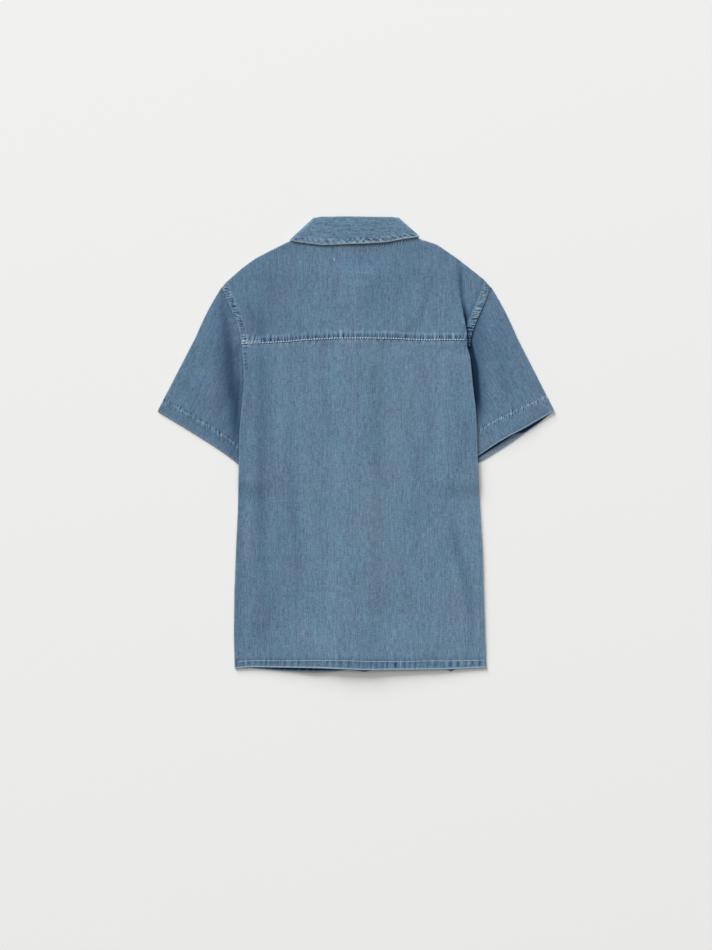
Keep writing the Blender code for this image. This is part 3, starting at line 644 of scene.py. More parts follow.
def backPlan():
    # x and y of the flat part: its columns run from the yoke seam to the hem, between both folds
    drop = spaced((3, 0.6), (8, 1.0), (26, 1.5), (383, back["rowStep"]), (398, 0.8))
    t = (drop / drop[-1])[:, None]
    s = spaced((1, back["columnStep"] / 290))[None, :]
    seamX = mix(leftEdge(123.0), pleatX(126.0) - 1, s)
    x, y = seamX + 0 * t, mix(seamY(seamX), hemLevel, t)
    for _ in range(8):          # the room that a fold takes depends on where its rows lie
        left, right = leftEdge(y), backRight(y)
        leftRoom = (upperHeight(left + 3, y) - lowerHeight(left, y) + cloth["wall"]) / 2
        rightRoom = (upperHeight(right - 3, y) - lowerHeight(right, y) + cloth["wall"]) / 2
        x = mix(left + leftRoom * ramp(y, 122, 114), right - rightRoom, s)
        y = mix(seamY(seamX) - 0.15, hemY(x), t)
    return x, y


def sideFold(flat, side):
    # rolled edge and folded strip beside the flat part: points, grain, wear with painted shade, and what is
    # kept
    x, y, top = flat[:, -1 if side > 0 else 0].T
    edge = (backRight if side > 0 else leftEdge)(y)
    arc = roundFold(edge, y, -side, 0, top, lowerHeight(edge, y), 8)[:, 1:]
    inward = spaced((1, 0.14))[1:]
    stripX = mix(arc[:, -1, :1], edge[:, None] - side * cloth["sideReturn"], inward)
    stripY = y[:, None] + 0 * stripX
    strip = np.concatenate([arc, np.stack([stripX, stripY, lowerHeight(stripX, stripY)], -1)], axis=1)
    line = np.concatenate([np.stack([x, y, top], -1)[:, None], strip], 1)
    walk = np.cumsum(np.linalg.norm(np.diff(line, axis=1), axis=-1), 1)
    grain = np.stack([x[:, None] + side * walk, strip[..., 1]], -1)
    wearAndShading = np.zeros(walk.shape)
    wearAndShading[:, :8] = back["rightRim"] if side > 0 else back["leftRim"]
    wearAndShading += 0.5 * ramp(strip[..., 1] - hemY(edge)[:, None], 1.5, 0.4)
    keep = np.repeat((y <= cloth["returnTop"])[:, None], walk.shape[1], 1)
    keep[:, :4] |= (y <= (130 if side > 0 else 121))[:, None]
    return strip, grain, wearAndShading, keep


def makeBack():
    x, y = backPlan()
    z, wearAndShading = backSurface(x, y)
    flat = np.stack([x, y, z], axis=-1)
    middle = flat, flat[..., :2], wearAndShading, np.ones(x.shape, bool)
    left = [part[:, ::-1] for part in sideFold(flat, -1)]
    points, grain, wearAndShading, keep = (np.concatenate(parts, axis=1)[::-1]
                                 for parts in zip(left, middle, sideFold(flat, 1)))
    return clothPiece("backPanel", points, grain, wearAndShading, [outside, inside], keep)


backPanel = makeBack()
print("back ready")


# Yoke
yoke = {
    "columnStep": 1.3, "rowStep": 1.7,
    "bandDepth": 9.5,           # of the tucks above its seam
    "tucks": [(60, 9.4, 0.4), (64, 4.9, 0.6), (68, 3.1, 0.75)],        # seed, spacing, share
    "tuckHeight": 0.15, "tuckTone": 0.62, "stitchPitch": 3.1,
    "gatherPeriod": 2.9,        # beneath the collar
    "pleat": (-4.0, 3.5),       # from its line, the stretch that has columns of its own
    "overhang": 2.1,            # of the pleat's fold
    "tail": 6.6,                # beyond the pleat, the yoke reaches this far below its seam
    "neck": 62.0,               # from the middle to the end of the shoulder's fold
    "neckUnder": 58.0,          # the same at the seam underneath
}


def frontYokeSeam(x):           # height of the seams with the fronts
    outer = np.where(x < 0, -lowerLeft(frontSeam["outerY"]), lowerRight(frontSeam["outerY"]))
    share = (abs(x) - frontSeam["innerX"]) / (outer - frontSeam["innerX"])
    return mix(frontSeam["innerY"], frontSeam["outerY"], share)


collarEdgeY = softLine([(-64, 245.4), (-40, 242.6), (-12, 243.9), (12, 244.6), (38, 246.3), (60, 250.5)])


def yokeBand(x, y):
    # tucks that fan out above the yoke's seam, and its rows of stitches
    up = y - seamY(x)
    reach = up / (1 + 0.3 * noise(66, x / 5.0))
    band = ramp(reach, yoke["bandDepth"] + 3, yoke["bandDepth"] - 1)
    fan = x + 0.25 * up * noise(67, x / 14)
    tucks = sum(share * ripple(seed, fan, period) for seed, period, share in yoke["tucks"])
    dots = 0.5 + 0.5 * ripple(69, x, yoke["stitchPitch"])
    inBand = band * ramp(up, 0.4, 3)
    height = 0.3 * band + yoke["tuckHeight"] * inBand * tucks - 0.3 * ramp(up, 0.7, 0)
    wearAndShading = yoke["tuckTone"] * inBand * tucks * (0.55 + 0.45 * ramp(up, 10, 4))
    wearAndShading = wearAndShading - 0.18 * dots * bell(up - 3.5, 1.7) - 0.16 * bell(up - 4.0, 2.2)
    wearAndShading = wearAndShading + mix(0.12, 0.24, ramp(x, -60, -20)) * bell(up - 8.6, 1.0)
    leftEnd = 0.28 * ramp(x, -112, -122) * ramp(up, 9, 5) + 0.22 * ramp(x, -110, -118) * ramp(up, 5, 3)
    return height, wearAndShading + leftEnd - 0.04 - 0.09 * ramp(x, -40, -90)


def yokeTop(x, y):
    # painted shadow beneath the collar's edge with painted light just below it, gathers there, and the rubbed
    # shoulders
    below = collarEdgeY(x) - y
    shadow = 0.2 * ramp(below, 2.2, 0.4) * mix(0.5, 1, bell(x - 15, 34))
    wearAndShading = (0.12 * bell(below - 3.6, 1.6) - shadow) * ramp(abs(x), 68, 58)
    gathers = ripple(72, x + 0.3 * below, yoke["gatherPeriod"]) * ramp(x, 0, 16) * ramp(x, 72, 60)
    wearAndShading = wearAndShading + gathers * (0.8 * bell(below - 2.6, 1.8) + 0.4 * bell(below - 5.0, 1.6))
    return 0, wearAndShading + 0.12 * ramp(shoulderY(x) - y, 2.0, 0.3)


def yokeSurface(x, y):
    return layered(x, y, yokeBand, yokeTop, armholeBand)


def yokeColumns():
    # group and place of each column: 0 left of the pleat, 1 over it, 2 right of it
    near, far = yoke["pleat"]
    main = spaced((0.04, 0.0042), (0.96, yoke["columnStep"] / 295), (1, 0.0052))
    over = np.arange(near + 0.5, far + 0.1, 0.5)
    beyond = spaced((1, 0.05))[1:]
    group = np.concatenate([0 * main, 1 + 0 * over, 2 + 0 * beyond])
    return group[None], np.concatenate([main, over, beyond])[None]


def yokePlace(group, value, y):
    # x of the columns at height y, and how narrow the pleat's own ones are there
    near, far = yoke["pleat"]
    pleat, right = yokePleatX(y), rightEdge(y)
    narrow = np.minimum(1, (right - pleat) * 0.7 / far)
    main = mix(leftEdge(y), pleat + near * narrow, value)
    beyond = mix(pleat + far * narrow, right, value)
    return np.select([group == 0, group == 1], [main, pleat + value * narrow], beyond), narrow


def yokePleatX(y):
    return pleatX(np.maximum(y, 123.0))


def pleatLip(x, y, group, narrow):
    # the pleat's fold leans over what lies beyond it: shift to the side, a lighter ridge, and painted shadow
    # beside it and over the strip beyond it
    offset = (x - yokePleatX(y)) / narrow
    deepest = max(drop for _, drop in pleatDrop)
    lip = yoke["overhang"] * pleatFall(y) / deepest * narrow * ramp(y, 195, 165)
    shift = np.where(group == 1, lip * (bell(offset + 1.3, 1.3) - bell(offset - 1.3, 1.3)), 0)
    high = ramp(y, 138, 165)
    shadow = bell(offset - mix(1.4, 2.6, high), mix(1.5, 3.4, high))
    wearAndShading = 0.15 * bell(offset + 1.8, 1.4) * ramp(y, 200, 170)
    wearAndShading = wearAndShading - shadow * (0.42 * ramp(y, 238, 195) + 0.58 * ramp(y, 182, 145))
    return shift, wearAndShading - 0.34 * ramp(offset, 1, 3) * ramp(y, 152, 132)


def yokeUnder(shoulderX, foldX, foldY):
    # from the shoulder's fold down to the seam with the front
    side = np.where(shoulderX < 0, -1.0, 1.0)
    tip = np.where(side < 0, leftEdge(tipY), rightEdge(tipY))
    outer = np.where(side < 0, lowerLeft(frontSeam["outerY"]), lowerRight(frontSeam["outerY"]))
    share = (shoulderX - tip) / (side * yoke["neck"] - tip)
    endX = mix(outer, side * yoke["neckUnder"], share)
    depth = spaced((1, 0.09))[1:, None]
    x, y = mix(foldX, endX, depth), mix(foldY, frontYokeSeam(endX), depth)
    return np.stack([x, y, lowerHeight(x, y)], -1)


def makeYoke():
    group, value = yokeColumns()
    tail = yoke["tail"] * ramp(np.where(group == 1, value / yoke["pleat"][1], group - 1), 0.1, 0.5)
    low, high = np.full(group.shape, 126.0), np.full(group.shape, 235.0)
    for _ in range(14):         # the columns slant, so where they end is found in rounds
        low = seamY(yokePlace(group, value, low)[0]) - tail
        high = shoulderY(yokePlace(group, value, high)[0])
    topX = yokePlace(group, value, high)[0]
    overShoulder = abs(topX) > yoke["neck"] - 0.3
    fall = lowerHeight(topX, high)
    inset = np.where(overShoulder, (upperHeight(topX, high - 2) - fall + cloth["wall"]) / 2, 0)
    rise = spaced((2.4, 0.6), (76, 0.95), (104, yoke["rowStep"]), (130, 1.3))
    y = mix(low + 0.15, high - inset, (rise / rise[-1])[:, None])
    x, narrow = yokePlace(group, value, y)
    z, wearAndShading = yokeSurface(x, y)
    grain = np.stack([x, y], -1)
    shift, pleatShading = pleatLip(x, y, group, narrow)
    x = x + shift
    arc = roundFold(x[-1], high[0], 0, -1, z[-1], fall[0], 8)[:, 1:].transpose(1, 0, 2)
    points = np.concatenate([np.stack([x, y, z], -1), arc, yokeUnder(topX[0], x[-1], arc[-1, :, 1])])
    beneath = points[len(y) - 1:]
    walk = np.cumsum(np.linalg.norm(np.diff(beneath, axis=0), axis=-1), 0)
    grain = np.concatenate([grain, np.stack([beneath[1:, :, 0], y[-1] + walk], -1)])
    wearAndShading = np.concatenate([wearAndShading + pleatShading, np.zeros(walk.shape)])
    keep = np.concatenate([np.ones(x.shape, bool), np.repeat(overShoulder, len(walk), 0)])
    return clothPiece("yokePanel", points, grain, wearAndShading, [outside, inside], keep)


yokePanel = makeYoke()
print("yoke ready")


# Fronts
front = {
    "columnStep": 3.4, "rowStep": 3.6, "wall": 0.7,
    "overlap": 14.0,            # each front passes the middle by this much
    "straight": 42.0,           # columns nearer the middle than this run straight down
    "seamGap": 0.5, "underarmY": 98, "neckY": 190.5,
    "hemDepth": 9.3, "puckerDepth": 9.6, "puckerPeriod": 8.4,
}
frontHem = {-1: softLine(frontHems["left"], 6), 1: softLine(frontHems["right"], 2)}


def frontOuter(y, side):        # side seam, and armhole above it
    gap = -side * front["seamGap"]
    sideSeam = edges[side](y) - side * cloth["sideReturn"] + gap
    return np.where(y > front["underarmY"], lowerEdges[side](y) + gap, sideSeam)


def frontTop(x):                # neck line, then the seam with the yoke
    share = (abs(x) - front["overlap"]) / (frontSeam["innerX"] - front["overlap"])
    neckLine = mix(front["neckY"], frontSeam["innerY"], share)
    return np.where(abs(x) < frontSeam["innerX"], neckLine, frontYokeSeam(x)) - front["seamGap"]


def frontHeight(x, y, side):
    return lowerHeight(x, y) if side < 0 else rightFrontHeight(x, y)


def frontWear(x, y, side):
    # puckered hem, and both rubbed edges
    up = y - frontHem[side](x)
    band = ramp(up, 10.2, 9.0)
    puckers = band * arch(up / front["puckerDepth"], 0.5) * ripple(70 + side, x, front["puckerPeriod"])
    wearAndShading = 0.3 * puckers - 0.12 * band + 0.6 * ramp(up, 1.6, 0.4)
    inset = abs(x + side * front["overlap"])
    return wearAndShading + 0.5 * ramp(inset, 1.4, 0.3) + 0.12 * ramp(inset, 4, 1) * ripple(80, y, 7)


def makeFront(side, name):
    straight = front["straight"]
    near = spaced((4, 1.0), (straight + front["overlap"], front["columnStep"])) - front["overlap"]
    far = spaced((1, front["columnStep"] / 90))[1:]
    value = np.concatenate([near, far])[None]
    isNear = np.arange(value.size)[None] < len(near)

    def place(y):
        return np.where(isNear, side * value, mix(side * straight, frontOuter(y, side), value))

    low, high = np.full(value.shape, hemLevel), np.full(value.shape, 200.0)
    for _ in range(14):         # the columns slant, so where they end is found in rounds
        low, high = frontHem[side](place(low)), frontTop(place(high))
    rows = spaced((12, 1.2), (448, front["rowStep"]))
    y = mix(low, high, (rows / rows[-1])[:, None])
    x = place(y)
    points = np.stack([x, y, frontHeight(x, y, side)], -1)
    wearAndShading = frontWear(x, y, side)
    up = y - frontHem[side](x)
    # painted shade on the inside of the front's hem, beneath the back's hem that overhangs it
    hollowShade = ramp(up, 40, 12) * mix(0.0, 0.8, ramp(up, 0.5, 2.2))
    if side > 0:                # the face of a front looks down, so its rows run the other way
        points, wearAndShading, hollowShade = points[::-1], wearAndShading[::-1], hollowShade[::-1]
    return clothPiece(name, points, points[..., :2], wearAndShading, [outside, inside], wall=front["wall"],
                      hollowShade=hollowShade)


frontPanels = {"left": makeFront(-1, "frontPanelLeft"), "right": makeFront(1, "frontPanelRight")}
print("fronts ready")


# Sleeves
sleeveForm = {
    "acrossStep": 1.3 / 145, "lowerStep": 3.4 / 145, "nearCuff": 48,
    "gap": 0.4,                 # to the body's armhole
    "girth": 150,               # about the length of the hem, one layer
    "crownPower": 0.75, "flatCuff": 0.85,       # the crown's fullness, and how much of it the cuff loses
    "bulge": 1.5, "bulgeEnd": 0.4,              # outer fold, and the share of its length where that ends
    "least": 1.55, "pressed": 1.36,             # height of the upper layer where it lies lowest
    "lowerGrain": 400,          # where the lower layer's grain begins
    "stitchPeriods": (7.6, 4.1), "tickPeriod": 3.9,
}
# For both: the upper and lower layer's edge beneath the body as share, x and y, and both cuffs' lines.
# "hem" is its depth at the fold and at the underarm; the hollow keys give where the inside is painted in
# shade, from the cuff.
# "beside" is the painted shadow beside the body: width, full share of it, strength, share of it at the yoke,
# share of its width at the yoke, and the heights between which it starts.
sleeves = {
    "left": {
        "side": -1, "seed": 200, "crown": 3.8, "gape": 0.0, "pressed": 1.0, "hem": (14.5, 27.0),
        "upper": [(0.68, -137.2, 122.4), (0.7, -135.5, 119), (7 / 9, -134.8, 109), (8 / 9, -133, 98),
                  (1, -119, 88)],
        "lower": [(7 / 9, -127.6, 108), (8 / 9, -122.1, 96), (1, -119, 88)],
        "cuff": {
            "upper": [(-242, 41), (-207.4, 20.3), (-177, 1.3), (-158, -11.5), (-142.8, -23.7), (-119, -38)],
            "lower": [(-242, 41), (-206.5, 21.5), (-176.5, 2.4), (-157, -10.5), (-142.3, -22.5), (-119, -37)],
        },
        "creases": [(-161, 190, -134, -45, -3, 7, -0.85), (-164, 140, -138, -45, -3, 15, -0.7),
                    (-150, 56, -163, 22, 0, 5, 0.4),
                    (-196, 140, -176, 60, 4, 12, 0.35), (-212, 80, -190, 40, 2, 9, -0.25)],
        "patches": [(-153, 94, 12, 20, 0.07), (-160, 158, 16, 16, -0.06)],
        "beside": (26, 0.2, 0.16, 0.2, 1.0), "foot": (-30, -8), "clear": 0.16,
        "shade": 0.18, "broadShade": 0.0, "seamShade": 0.0, "rim": 0.3,
        "ticks": (0.9, 0.68), "thread": "blue", "hollowShade": (2.2, 5.5), "tipHollowShade": (2.2, 5.5),
    },
    "right": {
        "side": 1, "seed": 230, "crown": 3.0, "gape": 1.1, "pressed": 0.0, "hem": (20.0, 41.0),
        "upper": [(0.68, 134.6, 124.9), (0.7, 134.4, 120), (7 / 9, 137.2, 109), (8 / 9, 135.5, 98),
                  (1, 123, 88)],
        "lower": [(7 / 9, 130.8, 108), (8 / 9, 125.8, 96), (1, 123, 88)],
        "cuff": {
            "upper": [(242, 41), (225.5, 31.5), (202.6, 18.4), (188, 11), (174, 3), (159.5, -6.4),
                      (148, -14.6), (124, -31.5)],
            "lower": [(242, 40), (225.5, 27.4), (214, 19.8), (203, 12.2), (195, 6.4), (181, -2.8),
                      (162.4, -14.4), (148, -23.2), (124, -39)],
        },
        "creases": [(190, 150, 214, 70, 4, 10, 0.35), (168, 130, 186, 50, 3, 9, -0.35),
                    (160, 70, 166, 10, 0, 7, 0.3), (214, 100, 226, 56, 0, 7, -0.2)],
        "patches": [(164, 88, 14, 34, 0.07), (236, 40, 16, 14, 0.05)],
        "beside": (12, 0.3, 0.9, 0.25, 0.35), "foot": (5, 62), "clear": 0.0,
        "shade": 0.13, "broadShade": 0.34, "seamShade": 0.6, "rim": 0.9,
        "ticks": (1.0, 0.72), "thread": "brown", "hollowShade": (5.5, 8.5), "tipHollowShade": (0.2, 1.4),
    },
}


def evenly(points, share):      # x and y of a broken line, by the share of its length
    points = np.array(points, float)
    far = np.concatenate([[0], np.cumsum(np.hypot(*np.diff(points, axis=0).T))])
    readX, readY = (softLine(list(zip(far, points[:, k])), 5) for k in (0, 1))
    return readX(share * far[-1]), readY(share * far[-1])


def sleevePoint(own, along, share, layer):
    # x and y on a layer: along runs from armhole to cuff, share from the outer fold to the underarm
    side, bend = own["side"], 2 / 3
    table = (edges if layer == "upper" else lowerEdges)[side]
    lowest = 125.3 if side > 0 and layer == "upper" else 123.0
    level = mix(tipY, lowest, np.clip(share / bend, 0, 1))
    gap = side * sleeveForm["gap"]
    shares, tailX, tailY = zip(*[(bend, table(lowest) + gap, lowest), *own[layer]])
    armX = np.where(share < bend, table(level) + gap, np.interp(share, shares, tailX))
    armY = np.where(share < bend, level, np.interp(share, shares, tailY))
    cuffX, cuffY = evenly(own["cuff"][layer], share)
    return mix(armX, cuffX, along), mix(armY, cuffY, along)


def sleeveTop(own, x, y, along, share):
    # middle of the upper layer
    side = own["side"]
    bodyX = abs(edges[side](y))
    foldX = abs(mix(edges[side](tipY), own["cuff"]["upper"][0][0], along))
    across = np.clip((abs(x) - bodyX - 5) / np.maximum(1, foldX - bodyX - 5), 0, 1)
    nearCuff = ramp(along, 0.6, 1)
    crown = own["crown"] * arch(across, sleeveForm["crownPower"])
    crown = crown * (1 - sleeveForm["flatCuff"] * ramp(along, 0.55, 1))
    gape = own["gape"] * nearCuff * ramp(across, 0, 0.3) * ramp(across, 1, 0.6)
    fold = 0.9 * ramp(across, 0.75, 1) * mix(1, 0.3, nearCuff)
    free = ramp(across, 0.02, 0.2) * ramp(across, 1, 0.8)
    shape = free * (creaseShape(x, y, own["creases"]) + 0.18 * noise(own["seed"] + 5, x / 30, y / 44))
    level = cloth["floor"] + cloth["layer"] + crown + gape + shape + fold
    joined = mix(upperHeight(x, y), level, ramp(share, 0.5, 0.68))      # where it is sewn to the body
    level = mix(joined, level, ramp(along, 0, 0.2))
    depth, way = armhole(x, y, side)
    puckers = 0.10 * ramp(-depth, 7, 0.5) * ripple(own["seed"] + 9, way, 6.5)
    level = level + (puckers - 0.25 * ramp(-depth, 1.5, 0)) * ramp(y, 118, 128)
    level = level + 0.45 * bell(abs(x) - 135.5, 3.5) * ramp(y, 100, 112)
    level = np.maximum(level, sleeveForm["least"]) + 0.15 * ramp(level, 1.2, 1.9)
    return mix(level, np.minimum(level, sleeveForm["pressed"]), own["pressed"] * ramp(along, 0.84, 1))


def sleeveWearAndShade(own, x, y, along):
    # painted shadow beside the body, painted shade over the whole sleeve, painted light towards the cuff, and
    # its own creases
    width, full, dark, atYoke, narrow = own["beside"]
    out = abs(x) - abs(edges[own["side"]](y))
    width = width * mix(narrow, 1, ramp(y, 128, 92))
    beside = ramp(out, width, width * full) ** 1.4 * ramp(y, *own["foot"])
    beside = beside * mix(atYoke, 1, ramp(y, 128, 116)) * mix(0.55, 1, ramp(y, 40, 90))
    beside = beside * ramp(y, 196, 165) + own["seamShade"] * ramp(out, 1.8, 0.6) * ramp(y, 118, 124)
    broad = own["broadShade"] * ramp(out, 26, 5) * ramp(y, 175, 120) * ramp(y, 0, 70) + own["shade"]
    clear = own["clear"] * bell(out - 5, 5) * ramp(y, 60, 95) * ramp(y, 190, 150)
    wearAndShading = foldTone(creaseShape(x, y, own["creases"]), 0.3, 0.15) - dark * beside - broad + clear
    return wearAndShading + mix(-0.06, 0.10, ramp(along, 0.3, 1)) + patchShading(x, y, own["patches"])


def sleeveBand(own, along, share):
    # hem at the cuff: height and wear of the puckers along its stitches
    seed, way = own["seed"], share * sleeveForm["girth"]
    depth = (1 - along) * own["length"]
    hemAt = mix(*own["hem"], share)
    band = ramp(depth, hemAt + 1.0, hemAt - 0.6)
    broad, small = sleeveForm["stitchPeriods"]
    waves = ripple(seed, way, broad) + 0.5 * ripple(seed + 3, way, small)
    bars = ripple(seed + 6, way + 0.35 * depth, sleeveForm["tickPeriod"])
    bars = bars * (1 + 0.8 * noise(seed + 7, way / 5, depth / 3))
    ticks = 0.2 + 0.3 * waves + 0.72 * bars + 0.6 * noise(seed + 8, way / 2.0, depth / 2.4)
    ticks = foldTone(ticks - 0.35 * ramp(depth - hemAt, 0, 2), *own["ticks"])
    height = 0.28 * band * ramp(depth, 0, 8) + 0.16 * bell(depth - hemAt, 2.8) * waves
    return height, bell(depth - hemAt + 0.4, 4.2) * ticks - 0.05 * band + own["rim"] * ramp(depth, 2.2, 0.8)


def eased(x, y, shift, ease):   # moves the points of each row by a share of its shift
    return x + shift[:, :1] * ease, y + shift[:, 1:] * ease


def ends(x, y, column):
    return np.stack([x[:, column], y[:, column]], -1)


def makeSleeve(key, name):
    # a flattened tube: the outer fold, the upper layer, the fold under the body, the lower layer
    own = sleeves[key]
    side = own["side"]
    top = np.array([edges[side](tipY), tipY])
    way = np.array(own["cuff"]["upper"][0], float) - top
    length = own["length"] = np.hypot(*way)
    unit = way / length
    across = np.array([-unit[1], unit[0]])
    along = (spaced((6, 0.9), (length - sleeveForm["nearCuff"], 2.6), (length, 1.1)) / length)[:, None]
    share = spaced((1, sleeveForm["acrossStep"]))[None, :]
    floor = np.full(len(along), cloth["floor"])

    x, y = sleevePoint(own, along, share, "upper")
    lift, wearAndShading = sleeveBand(own, along, share)
    z = sleeveTop(own, x, y, along, share)
    z = z + lift * ramp(z, 1.9, 2.3)
    bulge = sleeveForm["bulge"] * arch(along[:, 0] / sleeveForm["bulgeEnd"])
    outer = top + way * along + across * side * bulge[:, None]
    outer[:, 0] += side * sleeveForm["gap"] * (1 - along[:, 0])
    inward = ends(x, y, 8) - ends(x, y, 0)
    inward /= np.linalg.norm(inward, axis=1)[:, None]
    slant = np.maximum(0.5, -(inward @ (across * side)))

    def outerFold():
        return roundFold(*outer.T, *inward.T, z[:, 0], floor, 8, slant)

    x, y = eased(x, y, outerFold()[:, 0, :2] - ends(x, y, 0), 1 - ramp(share, 0, 0.22))
    z = sleeveTop(own, x, y, along, share) + lift * ramp(z, 1.9, 2.3)
    wearAndShading = wearAndShading + sleeveWearAndShade(own, x, y, along)
    arc = outerFold()
    under = roundFold(x[:, -1], y[:, -1], side, 0, z[:, -1], floor, 5)
    lowShare = spaced((1, sleeveForm["lowerStep"]))[None, :]
    lowX, lowY = sleevePoint(own, along, lowShare, "lower")
    atFold, atUnderarm = arc[:, -1, :2] - ends(lowX, lowY, 0), under[:, -1, :2] - ends(lowX, lowY, -1)
    lowX, lowY = eased(lowX, lowY, atFold, 1 - ramp(lowShare, 0, 0.22))
    lowX, lowY = eased(lowX, lowY, atUnderarm, ramp(lowShare, 0.9, 1))
    lowZ = cloth["floor"] + 0 * lowX
    own["places"] = {"upper": (along, share, x, y, z), "lower": (along, lowShare, lowX, lowY, lowZ)}

    lower = np.stack([lowX, lowY, lowZ], -1)[:, ::-1]
    upper = np.stack([x, y, z], -1)[:, :-1]
    ring = np.concatenate([arc[:, 1:-1][:, ::-1], upper, under, lower[:, 1:]], axis=1)
    first = arc.shape[1] - 2            # columns of the outer fold, then of the upper layer
    last = first + x.shape[1]
    grain = np.stack([(ring[..., :2] - outer[:, None]) @ across, (ring[..., :2] - top) @ unit], -1)
    isLower = np.arange(ring.shape[1]) >= last + 2
    grain[..., 0] = np.where(isLower, sleeveForm["lowerGrain"] - grain[..., 0], grain[..., 0])
    depth = (1 - along) * length
    rubAndShading, hollowShade = np.zeros(ring.shape[:2]), np.zeros(ring.shape[:2])
    rubAndShading[:, :first] = wearAndShading[:, :1] + 0.1
    rubAndShading[:, first:last - 1] = wearAndShading[:, :-1]
    rubAndShading[:, last:] = 0.45 * ramp(depth, 1.9, 0.3)
    # painted shade on the inside of the lower layer, full further in from the cuff, and starting sooner at
    # the tip
    shares = np.concatenate([np.ones(under.shape[1] + 1), lowShare[0, ::-1][1:]])[None]
    start, end = (mix(a, b, ramp(shares, 0.30, 0.42)) for a, b in zip(own["tipHollowShade"], own["hollowShade"]))
    hollowShade[:, last - 2:] = 0.02 + 0.9 * ramp(depth, start, end)
    if side < 0:
        ring, grain, rubAndShading, hollowShade = ring[::-1], grain[::-1], rubAndShading[::-1], hollowShade[::-1]
    return clothPiece(name, ring, grain, rubAndShading, [outside, inside], ring=True, hollowShade=hollowShade)


sleevePanels = {key: makeSleeve(key, "sleevePanel" + key.capitalize()) for key in sleeves}
print("sleeves ready")


# Collar: neck seam, fold and free edge, under the left front and then on the back; the right
# front's part mirrors the left one's
collar = {
    "front": [((-16, 192.7), (-17, 199), (-44, 157)), ((-30, 208), (-27, 216), (-62, 179)),
              ((-44, 223.2), (-36, 238), (-75, 206)), ((-56.5, 237), (-44, 258), (-79, 230))],
    "leftTurn": ((-61.4, 252.6), (-52, 276.2), (-81.4, 249.8)),
    "back": [((-52, 254.4), (-43, 277.6), (-64, 245.4)), ((-34, 254.5), (-28, 277.7), (-40, 242.6)),
             ((-11, 254.7), (-9, 278), (-12, 243.9)), ((12, 254.9), (14, 277.6), (12, 244.6)),
             ((35, 255.1), (32, 277.4), (38, 246.3)), ((52, 255.3), (45, 277.2), (60, 250.5))],
    "rightTurn": ((61.4, 253.6), (52.2, 276.4), (77.6, 254.6)),
    "under": (0.5, 1.8), "over": (5.2, 3.6),     # height of leaf and band, below and above
    "rise": 1.8,                # the neck seam climbs by this much round the shoulder
    "slide": 3.0,               # and the fold moves on by this much
    "roll": 0.7,                # least radius of the fold
    "step": 1.2, "stitchIn": 6.6,
    "pucker": 0.2, "puckerDepth": 8.6, "periods": (6.4, 5.1),
}


def collarTurn(key, side):
    # sections round one shoulder, where the collar turns over from below the front to the back's top
    seam, crest, edge = (np.array(p, float) for p in collar[key])
    (leafTop, bandTop), (leafLow, bandLow) = collar["over"], collar["under"]
    line = (crest - edge) / np.linalg.norm(crest - edge)
    outward = np.array([-line[1], line[0]]) * -side
    rows = []
    for turn in range(0, 181, 20):
        height = (1 - math.cos(math.radians(turn))) / 2
        sideways = (leafTop - leafLow) / 2 * (math.sin(math.radians(turn)) - 1) - cloth["wall"] / 2
        push = outward * sideways
        slide = line * collar["slide"] * float(ramp(turn, 90, 180))
        raised = seam + (0, collar["rise"] * height)
        rows.append([*raised, *(crest + push + slide), *(edge + push), turn,
                     mix(leafLow, leafTop, height), mix(bandLow, bandTop, height)])
    return rows


def collarRows():
    # one row for each known section: seam, fold and edge in plan, turn, height of leaf and band
    leafLow = collar["under"][0]
    rows = [[*seam, *crest, *edge, 0, leafLow, float(lowerHeight(*seam))]
            for seam, crest, edge in collar["front"]]
    rows += collarTurn("leftTurn", -1)
    rows += [[*seam, *crest, *edge, 180, *collar["over"]] for seam, crest, edge in collar["back"]]
    rows += collarTurn("rightTurn", 1)[::-1]
    rows += [[-seam[0], seam[1], -crest[0], crest[1], -edge[0], edge[1], 0, leafLow,
              float(rightFrontHeight(-seam[0], seam[1]))] for seam, crest, edge in reversed(collar["front"])]
    return np.array(rows, float)


def leafForm(q, at, fromEdge, edgeX, onTop):
    # the leaf's own lift, with puckers between its stitches and its edge, and its wear
    first, second = collar["periods"]
    waves = 0.75 * ripple(90, at + 0.8 * fromEdge, first) + 0.75 * ripple(94, at - 1.1 * fromEdge, second)
    rim = arch(fromEdge / collar["puckerDepth"], 0.7)
    lift = 0.45 * arch(q) + 0.6 * bell(edgeX - 14, 34) * ramp(q, 0.5, 1)
    lift = lift + collar["pucker"] * rim * waves + 0.12 * ramp(fromEdge, 7.5, 6)
    spots = waves * (0.6 + 0.6 * noise(97, at / 4.0, fromEdge / 3.0))
    spots = spots + 0.5 * noise(98, at / 2.6, fromEdge / 2.4)
    wearAndShading = rim * (spots * mix(0.8, 1.15, ramp(edgeX, -40, 0)) + 0.03) + ramp(fromEdge, 2.2, 1.0)
    return onTop * lift, wearAndShading + 0.1 * bell(fromEdge - collar["stitchIn"], 0.9) - 0.04 * onTop


